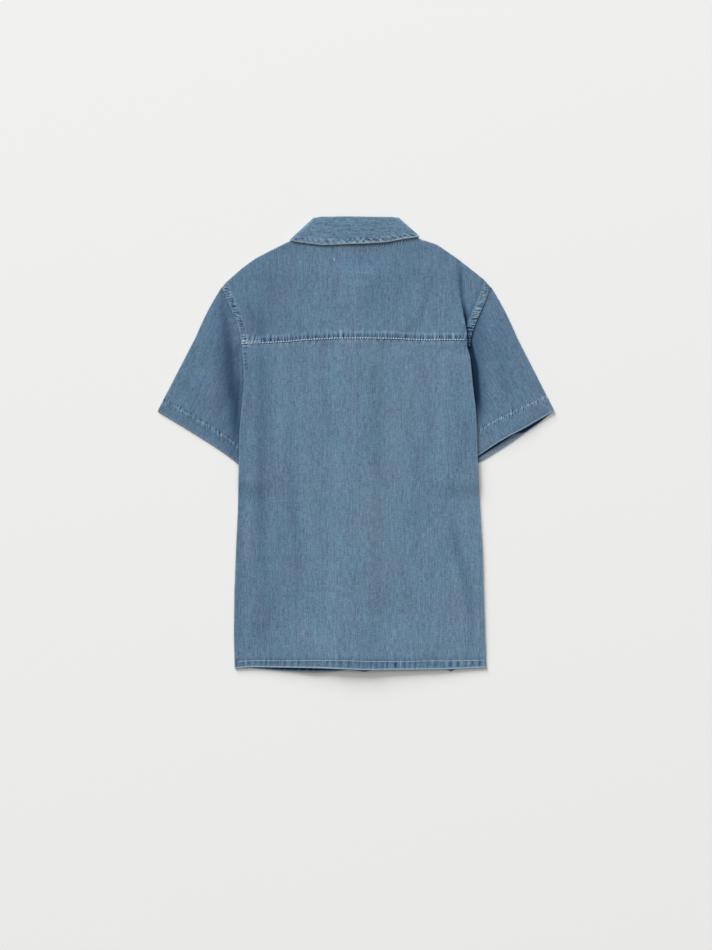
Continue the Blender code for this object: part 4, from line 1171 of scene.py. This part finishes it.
def makeCollar():
    rows = collarRows()
    moved = np.diff(np.delete(rows, 6, axis=1), axis=0)
    far = np.concatenate([[0], np.cumsum(np.sqrt((moved ** 2).sum(axis=1) / 3))])
    at = spaced((far[-1], collar["step"]))
    read = [softLine(list(zip(far, rows[:, k])), 1.6)(at) for k in range(9)]
    seam, crest, edge = (np.stack(read[k:k + 2], -1) for k in (0, 2, 4))
    turn, leaf, stand = np.clip(read[6], 0, 180), read[7][:, None], read[8][:, None]
    bent = np.radians(turn)[:, None]
    away = crest - (seam + edge) / 2                    # from the leaf's middle to the fold, in plan
    away /= np.linalg.norm(away, axis=1)[:, None]
    outward = np.stack([away[:, 1], -away[:, 0]], -1)
    outward *= np.where((outward * (edge - seam)).sum(1) < 0, -1, 1)[:, None]
    radius = np.maximum(abs(leaf - stand) / 2, collar["roll"])
    side = np.concatenate([outward * np.sin(bent), -np.cos(bent)], 1)[:, None]
    centre = np.concatenate([crest - away * (radius + cloth["wall"] / 2), (leaf + stand) / 2], 1)[:, None]
    away = np.concatenate([away, 0 * bent], 1)[:, None]
    angle = np.linspace(0, math.pi, 9)[None, :, None]
    arc = centre + radius[:, None] * (away * np.sin(angle) - side * np.cos(angle))
    start, end = (np.concatenate(pair, 1)[:, None] for pair in ((seam, stand), (edge, leaf)))
    band = mix(start, arc[:, :1], spaced((1, 0.12))[:-1][None, :, None])
    q = spaced((1, 0.045))[1:]                          # share of the leaf, from the fold to its edge
    fall = mix(arc[:, -1:], end, q[None, :, None])
    fromEdge = (1 - q) * np.linalg.norm(end - arc[:, -1:], axis=-1)
    lift, wearAndShading = leafForm(q, at[:, None], fromEdge, edge[:, :1], ramp(turn, 120, 180)[:, None])
    fall[..., 2] += lift
    points = np.concatenate([band, arc, fall], axis=1)
    middle = points[len(at) // 2]
    walk = np.concatenate([[0], np.cumsum(np.linalg.norm(np.diff(middle, axis=0), axis=-1))])
    grain = np.stack(np.broadcast_arrays(walk[None, :], at[:, None]), -1)
    wearAndShading = np.concatenate([np.zeros((len(at), len(walk) - len(q))), wearAndShading], axis=1)
    collar["places"] = (points, fromEdge, len(q), turn)
    return clothPiece("collarPanel", points, grain, wearAndShading, [crossGrain, crossGrain])


collarPanel = makeCollar()
print("collar ready")


# Threads
thread = {"pitch": 3.1, "length": 2.4, "width": 0.75, "height": 0.42, "sway": 6, "slant": 14}
lineStep = 1.5                  # between the points of a line of stitches
threadColours = {"pale": (186, 200, 210), "bright": (219, 227, 232), "brown": (156, 173, 187),
                 "blue": (128, 148, 164)}


def threadMaterial(name, colour):
    made, g = newMaterial(name)
    where = g.node("ShaderNodeTexCoord", output="Object")
    patches = g.node("ShaderNodeTexNoise", {}, {"Vector": where, "Scale": 220.0, "Detail": 1.0})
    tone = g.blend(patches, srgb(*(c * 0.86 for c in colour)), srgb(*colour))
    g.surface({"Base Color": tone, "Roughness": 0.7, "Specular IOR Level": 0.3})
    return made


def stitchTree():
    # threads laid end to end along every line of a mesh of edges
    tree = bpy.data.node_groups.new("stitches", "GeometryNodeTree")
    face = tree.interface
    face.new_socket("Geometry", in_out="OUTPUT", socket_type="NodeSocketGeometry")
    face.new_socket("Geometry", in_out="INPUT", socket_type="NodeSocketGeometry")
    for name, kind in (("Pitch", "Float"), ("Length", "Float"), ("Width", "Float"), ("Height", "Float"),
                       ("Sway", "Float"), ("Slant", "Float"), ("Seed", "Int"), ("Thread", "Material")):
        face.new_socket(name, in_out="INPUT", socket_type="NodeSocket" + kind)
    g = Graph(tree)
    given = tree.nodes.new("NodeGroupInput")

    def take(name):
        return Wire(g, given.outputs[name])

    line = g.node("GeometryNodeMeshToCurve", {}, {"Mesh": take("Geometry")})
    spots = g.node("GeometryNodeCurveToPoints", {"mode": "LENGTH"}, {"Curve": line, "Length": take("Pitch")})
    tangent = Wire(g, spots.socket.node.outputs["Tangent"])
    turned = g.node("FunctionNodeAlignRotationToVector", {"axis": "X"}, {"Vector": tangent})
    swing = g.node("FunctionNodeRandomValue", {"data_type": "FLOAT"},
                   {"Min": take("Sway") * -1, "Max": take("Sway"), "Seed": take("Seed")}, "Value")
    twist = g.node("ShaderNodeCombineXYZ", {}, {"Z": swing + take("Slant")})
    turned = g.node("FunctionNodeRotateRotation", {"rotation_space": "LOCAL"},
                    {"Rotation": turned, "Rotate By": twist})
    grown = g.node("FunctionNodeRandomValue", {"data_type": "FLOAT"},
                   {"Min": 0.86, "Max": 1.12, "Seed": take("Seed")}, "Value")
    ball = g.node("GeometryNodeMeshUVSphere", {}, {"Segments": 6, "Rings": 4, "Radius": 0.5})
    size = g.node("ShaderNodeCombineXYZ", {}, {"X": take("Length"), "Y": take("Width"), "Z": take("Height")})
    stitch = g.node("GeometryNodeTransform", {}, {"Geometry": ball, "Scale": size})
    laid = g.node("GeometryNodeInstanceOnPoints", {},
                  {"Points": spots, "Instance": stitch, "Rotation": turned, "Scale": grown})
    real = g.node("GeometryNodeRealizeInstances", {}, {"Geometry": laid})
    dyed = g.node("GeometryNodeSetMaterial", {}, {"Geometry": real, "Material": take("Thread")})
    smooth = g.node("GeometryNodeSetShadeSmooth", {}, {"Geometry": dyed})
    g.node("NodeGroupOutput", {}, {"Geometry": smooth})
    return tree


stitching = stitchTree()
dyed = {key: threadMaterial(key + "Thread", colour) for key, colour in threadColours.items()}
stitchPieces = {}


def sew(host, name, lines, seed, colour="pale", **sizes):
    # threads along lines of points, as one mesh that belongs to a host piece
    made = dict(thread, **sizes)
    points, joins = [], []
    for line in lines:
        first = len(points)
        points += [tuple(p) for p in np.asarray(line) * mm]
        joins += [(i, i + 1) for i in range(first, len(points) - 1)]
    mesh = bpy.data.meshes.new(name + "Lines")
    mesh.from_pydata(points, joins, [])
    guide = addObject(name + "Lines", mesh)
    sewing = guide.modifiers.new("stitches", "NODES")
    sewing.node_group = stitching
    values = {key.capitalize(): made[key] * mm for key in ("pitch", "length", "width", "height")}
    values.update({key.capitalize(): math.radians(made[key]) for key in ("sway", "slant")})
    values.update({"Seed": seed, "Thread": dyed[colour]})
    for item in stitching.interface.items_tree:
        if item.in_out == "INPUT" and item.name in values:
            sewing[item.identifier] = values[item.name]
    guide.update_tag()
    stitchPieces[name] = (host, addObject(name, baked(guide)))


def above(surface, x, y, up=0.36):      # a line on the outer face of back or yoke
    x, y = np.broadcast_arrays(np.asarray(x, float), np.asarray(y, float))
    return np.stack([x, y, surface(x, y)[0] + up], -1)


def beneath(height, x, y, down=0.38):   # a line on a face that looks down
    x, y = np.broadcast_arrays(np.asarray(x, float), np.asarray(y, float))
    return np.stack([x, y, height(x, y) - down], -1)


def steps(low, high):
    return np.arange(low, high, lineStep)


def armholeLine(side, depth, low, high):
    # x and y along an armhole, this far in from the edge
    edge, y = edges[side], np.arange(high, low, -lineStep)
    slope = edge(y + 0.5) - edge(y - 0.5)
    length = np.hypot(1, slope)
    return edge(y) - side * depth / length, y + side * depth * slope / length


def sleeveRow(own, layer, up):
    # along the hem's depth, except beneath the body
    along, share, x, y, z = own["places"][layer]
    target = 1 - mix(*own["hem"], share[0]) / own["length"]
    rows = [[np.interp(t, along[:, 0], level[:, k]) for k, t in enumerate(target)] for level in (x, y, z)]
    line = np.array(rows).T[3:] + (0, 0, up)
    return line[abs(line[:, 0]) > abs(edges[own["side"]](line[:, 1])) - 6]


def collarRow(over):
    # along the leaf's edge, over the back or beneath both fronts
    points, fromEdge, count, turn = collar["places"]
    nearest = int(np.argmin(abs(fromEdge[len(points) // 2] - collar["stitchIn"])))
    column = points.shape[1] - count + nearest
    rows = points[turn > 172] if over else points[turn < 8]
    line = rows[:, column] + (0, 0, 0.36 if over else -0.42)
    return [line] if over else [line[:len(line) // 2], line[len(line) // 2:]]


runs = {                        # both ends of each row of stitches across the shirt, in x
    "hem": (-143, 155), "leftFold": (-145.5, -133), "rightFold": (143.5, 156), "seam": (-113, 131.5),
    "seamEnd": (-137.5, -113), "label": (-17, 25), "tack": (-138.5, -118), "shoulder": (61, 152),
}
hemX, leftFoldX, rightFoldX, seamX, endX, labelX, tackX, shoulderX = (steps(*run) for run in runs.values())
sew("backPanel", "stitchesHem", [
    above(backSurface, hemX, hemY(hemX) + hemDepth(hemX)),
    *(beneath(lowerHeight, foldX, hemY(foldX) + back["hemDepth"], 0.44)
      for foldX in (leftFoldX, rightFoldX)),
], 5, length=3.5, width=0.68, slant=3)
sew("backPanel", "stitchesTack", [above(backSurface, tackX, seamY(tackX) - 2.9)], 15, "brown", width=0.6)
sew("yokePanel", "stitchesArmholes", [
    above(yokeSurface, *armholeLine(side, 8.2, low, 195)) for side, low in ((-1, 126), (1, 146))
], 16, "brown", width=0.6)
sew("yokePanel", "stitchesYoke", [
    beneath(lowerHeight, side * shoulderX, frontYokeSeam(side * shoulderX) + 1.8, 0.44) for side in (-1, 1)
], 6)
sew("yokePanel", "stitchesSeam", [above(yokeSurface, seamX, seamY(seamX) + 1.3, 0.45)], 9, "bright",
    width=1.15, height=0.5, length=2.5, slant=38, sway=12)
sew("yokePanel", "stitchesEnd", [above(yokeSurface, endX, seamY(endX) + rise, 0.42) for rise in (1.0, 3.5)],
    19, width=1.1, slant=24)
sew("yokePanel", "stitchesLabel", [above(yokeSurface, labelX, 212.7 - 0.14 * (labelX + 17), 0.34)],
    7, width=0.42, length=2.3, slant=4)
sew("yokePanel", "threadEnd", [above(yokeSurface, [-26.6, -26.2], [226.4, 224.6], 0.34)], 17, "bright",
    pitch=1.7, length=1.9, width=1.1, slant=70)
sew("collarPanel", "stitchesCollar", collarRow(True) + collarRow(False), 8, "blue")
for key, own in sleeves.items():
    sew(sleevePanels[key].name, "stitchesSleeve" + key.capitalize(),
        [sleeveRow(own, "upper", 0.36), sleeveRow(own, "lower", -0.43)], 10 + own["side"], own["thread"],
        sway=16, width=0.6, length=2.2)
for key, side, low, high in (("Left", -1, -130, 12), ("Right", 1, 15.5, 139.5)):
    hemRow, sideY, armY = steps(low, high), steps(-270, 92), steps(102, 172)
    places = [
        (hemRow, frontHem[side](hemRow) + front["hemDepth"]),
        (frontOuter(sideY, side) - side * 2.2, sideY),
        (frontOuter(armY, side) - side * 7.8, armY),
    ]
    if side < 0:                # both rows of the fastening edge that lies outside
        places += [(x, steps(-271, 184)) for x in (11, -11)]
    sew("frontPanel" + key, "stitchesFront" + key,
        [beneath(lambda x, y: frontHeight(x, y, side), *place) for place in places], 20 + side)
print("stitches ready")


# Buttons, face down, with the left front's buttonholes
button = {
    "top": 178, "pitch": 74, "count": 6, "facets": 48, "hole": 0.72, "holeAt": 1.25, "holeFacets": 12,
    "profile": [(3.1, 0.62), (3.6, 0.2), (4.05, 0.02), (4.75, 0.04), (5.25, 0.3), (5.48, 0.8),
                (5.44, 1.45), (5.1, 1.86), (4.5, 2.0)],
    "sunkTo": 0.66, "thickness": 2.0,           # height of both poles of the profile
    "threadReach": 1.1, "threadLevel": 0.42, "drillDepth": 6, "sharpAngle": 50,
    "colour": (220, 216, 205), "slitLength": 13.4, "slitWidth": 2.3,
}


def buttonMaterial():
    made, g = newMaterial("buttonShell")
    where = g.node("ShaderNodeTexCoord", output="Object")
    clouds = g.node("ShaderNodeTexNoise", {},
                    {"Vector": where, "Scale": 260.0, "Detail": 2.0, "Distortion": 1.2})
    tone = g.blend(clouds, srgb(*(c * 0.93 for c in button["colour"])), srgb(*button["colour"]))
    g.surface({"Base Color": tone, "Roughness": 0.15 + 0.3 * clouds, "Coat Weight": 0.3,
               "Coat Roughness": 0.15})
    return made


def turnedMesh(profile, facets, low, high):
    # closed solid turned round the z axis, its poles at the heights low and high
    form = bmesh.new()
    rings = []
    for radius, height in profile:
        turns = [2 * math.pi * k / facets for k in range(facets)]
        rings.append([form.verts.new((radius * math.cos(t), radius * math.sin(t), height)) for t in turns])
    ends = [form.verts.new((0, 0, low)), form.verts.new((0, 0, high))]
    for k in range(facets):
        after = (k + 1) % facets
        form.faces.new((ends[0], rings[0][after], rings[0][k]))
        form.faces.new((ends[1], rings[-1][k], rings[-1][after]))
        for lower, upper in zip(rings, rings[1:]):
            form.faces.new((lower[k], lower[after], upper[after], upper[k]))
    mesh = bpy.data.meshes.new("turned")
    form.to_mesh(mesh)
    form.free()
    return mesh


def makeButtons():
    # one disc with four holes, then a copy of it for each place
    disc = addObject("disc", turnedMesh(button["profile"], button["facets"], button["sunkTo"],
                                        button["thickness"]))
    drill = bmesh.new()
    for dx in (-1, 1):
        for dy in (-1, 1):
            made = bmesh.ops.create_cone(drill, cap_ends=True, segments=button["holeFacets"],
                                         depth=button["drillDepth"], radius1=button["hole"],
                                         radius2=button["hole"])
            bmesh.ops.translate(drill, verts=made["verts"],
                                vec=(dx * button["holeAt"], dy * button["holeAt"], 1))
    holes = bpy.data.meshes.new("holes")
    drill.to_mesh(holes)
    drill.free()
    tool = addObject("holes", holes)
    cut = disc.modifiers.new("holes", "BOOLEAN")
    cut.object, cut.solver = tool, "EXACT"
    drilled = baked(disc)
    bpy.data.objects.remove(tool)
    shell = buttonMaterial()
    made = []
    for index in range(button["count"]):
        mesh = drilled.copy()
        places = np.empty(len(mesh.vertices) * 3)
        mesh.vertices.foreach_get("co", places)
        places = places.reshape(-1, 3) + (0, button["top"] - index * button["pitch"], 0)
        mesh.vertices.foreach_set("co", (places * mm).ravel())
        mesh.materials.clear()
        mesh.materials.append(shell)
        mesh.shade_smooth()
        piece = addObject("buttonDisc%d" % (index + 1), mesh)
        sharp = piece.modifiers.new("crisp holes", "EDGE_SPLIT")
        sharp.split_angle = math.radians(button["sharpAngle"])
        made.append(piece)
    return made


def buttonLines():
    # threads through every button's holes, and the outline of every buttonhole
    bars, slits = [], []
    half, reach = button["slitWidth"] / 2, button["slitLength"] / 2
    corners = [(-half, -reach), (half, -reach), (half, reach), (-half, reach), (-half, -reach)]
    outline = [mix(np.array(a), np.array(b), t) for a, b in zip(corners, corners[1:])
               for t in np.linspace(0, 1, 9)[:-1]] + [np.array(corners[0])]
    x, y = np.array(outline).T
    for index in range(button["count"]):
        middle = button["top"] - index * button["pitch"]
        low, high = middle - button["threadReach"], middle + button["threadReach"]
        bars += [[(at, low, button["threadLevel"]), (at, high, button["threadLevel"])]
                 for at in (-button["holeAt"], button["holeAt"])]
        slits.append(beneath(lowerHeight, x, y + middle))
    return bars, slits


buttonPieces = makeButtons()
bars, slits = buttonLines()
sew("frontPanelLeft", "buttonThreads", bars, 31, pitch=3.0, length=3.1, width=0.6, slant=0)
sew("frontPanelLeft", "buttonholes", slits, 32, "blue", pitch=0.75, length=1.5, width=0.6, slant=90)
print("buttons ready")


# Ties to the frame: for each node its piece and slot, then width and length, and area, of the cloth laid
# flat, in metres, how it lies, and what on
ties = {
    "back": (backPanel, "denim", (0.344, 0.402), 0.1304, "laid", ["front_left", "front_right"]),
    "yoke": (yokePanel, "denim", (0.330, 0.190), 0.0406, "folded", ["front_left", "front_right"]),
    "front_left": (frontPanels["left"], "denim", (0.171, 0.515), 0.0699, "laid", ["button_1"]),
    "front_right": (frontPanels["right"], "denim", (0.172, 0.515), 0.0723, "laid", ["front_left"]),
    "sleeve_left": (sleevePanels["left"], "denim", (0.292, 0.172), 0.0300, "laid", ["rest surface"]),
    "sleeve_right": (sleevePanels["right"], "denim", (0.290, 0.172), 0.0290, "laid", ["rest surface"]),
    "collar": (collarPanel, "denim_collar", (0.400, 0.062), 0.0172, "folded", ["yoke"]),
}


def settle(piece, slot, node=None):
    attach(piece, "root")
    if node:
        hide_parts(node)


for node, (piece, slot, *_) in ties.items():
    settle(piece, slot, node)
for index, piece in enumerate(buttonPieces):
    settle(piece, "button_shell", "button_%d" % (index + 1))
for host, piece in stitchPieces.values():
    settle(piece, "denim_collar" if host == "collarPanel" else "denim")


# Stage, light and camera
stage = {
    "viewHeight": 1159.0, "centreY": -37.1, "cameraHeight": 2600.0, "sensor": 36.0,
    "farClip": 90, "floorHalf": 15.0, "floorDrop": 0.0001,             # in metres
    "floor": (0.872, 0.870, 0.858), "world": 0.25,
    "lights": {                 # azimuth, elevation, distance, width, height, strength
        "keyLight": (-27, 24, 26, 11.2, 13.5, 9350),
        "topLight": (40, 62, 20, 12.0, 12.0, 940),
    },
}


def makeFloor():
    half, low = stage["floorHalf"], -stage["floorDrop"]
    corners = [(-half, -half, low), (half, -half, low), (half, half, low), (-half, half, low)]
    mesh = bpy.data.meshes.new("studioFloor")
    mesh.from_pydata(corners, [], [(0, 1, 2, 3)])
    made, g = newMaterial("studioFloor")
    g.surface({"Base Color": (*stage["floor"], 1), "Roughness": 0.9, "Specular IOR Level": 0.1})
    mesh.materials.append(made)
    floor = addObject("studioFloor", mesh)


def makeWorld():
    world = bpy.data.worlds.new("studio")
    bpy.context.scene.world = world
    world.use_nodes = True
    g = Graph(world.node_tree)
    sky = g.node("ShaderNodeBackground", {}, {"Color": (1.0, 1.0, 1.0, 1), "Strength": stage["world"]})
    g.node("ShaderNodeOutputWorld", {}, {"Surface": sky})


def softbox(name, azimuth, elevation, distance, width, height, strength):
    light = bpy.data.lights.new(name, "AREA")
    light.shape = "RECTANGLE"
    light.size, light.size_y = width, height
    light.energy = strength
    lamp = addObject(name, light)
    a, e = math.radians(azimuth), math.radians(elevation)
    direction = np.array([math.sin(a) * math.cos(e), math.cos(a) * math.cos(e), math.sin(e)])
    lamp.location = direction * distance
    lamp.rotation_mode = "QUATERNION"
    lamp.rotation_quaternion = Vector(direction).to_track_quat("Z", "Y")
    lamp.visible_camera = False


def makeCamera():               # looks straight down
    lens = bpy.data.cameras.new("camera")
    lens.sensor_width = lens.sensor_height = stage["sensor"]
    lens.sensor_fit = "AUTO"
    lens.lens = stage["sensor"] * stage["cameraHeight"] / stage["viewHeight"]
    lens.clip_end = stage["farClip"]
    camera = addObject("camera", lens)
    camera.location = (0, stage["centreY"] * mm, stage["cameraHeight"] * mm)
    bpy.context.scene.camera = camera


makeFloor()
makeWorld()
for name, light in stage["lights"].items():
    softbox(name, *light)
makeCamera()
bpy.context.scene.view_settings.view_transform = "Standard"
print("stage ready")
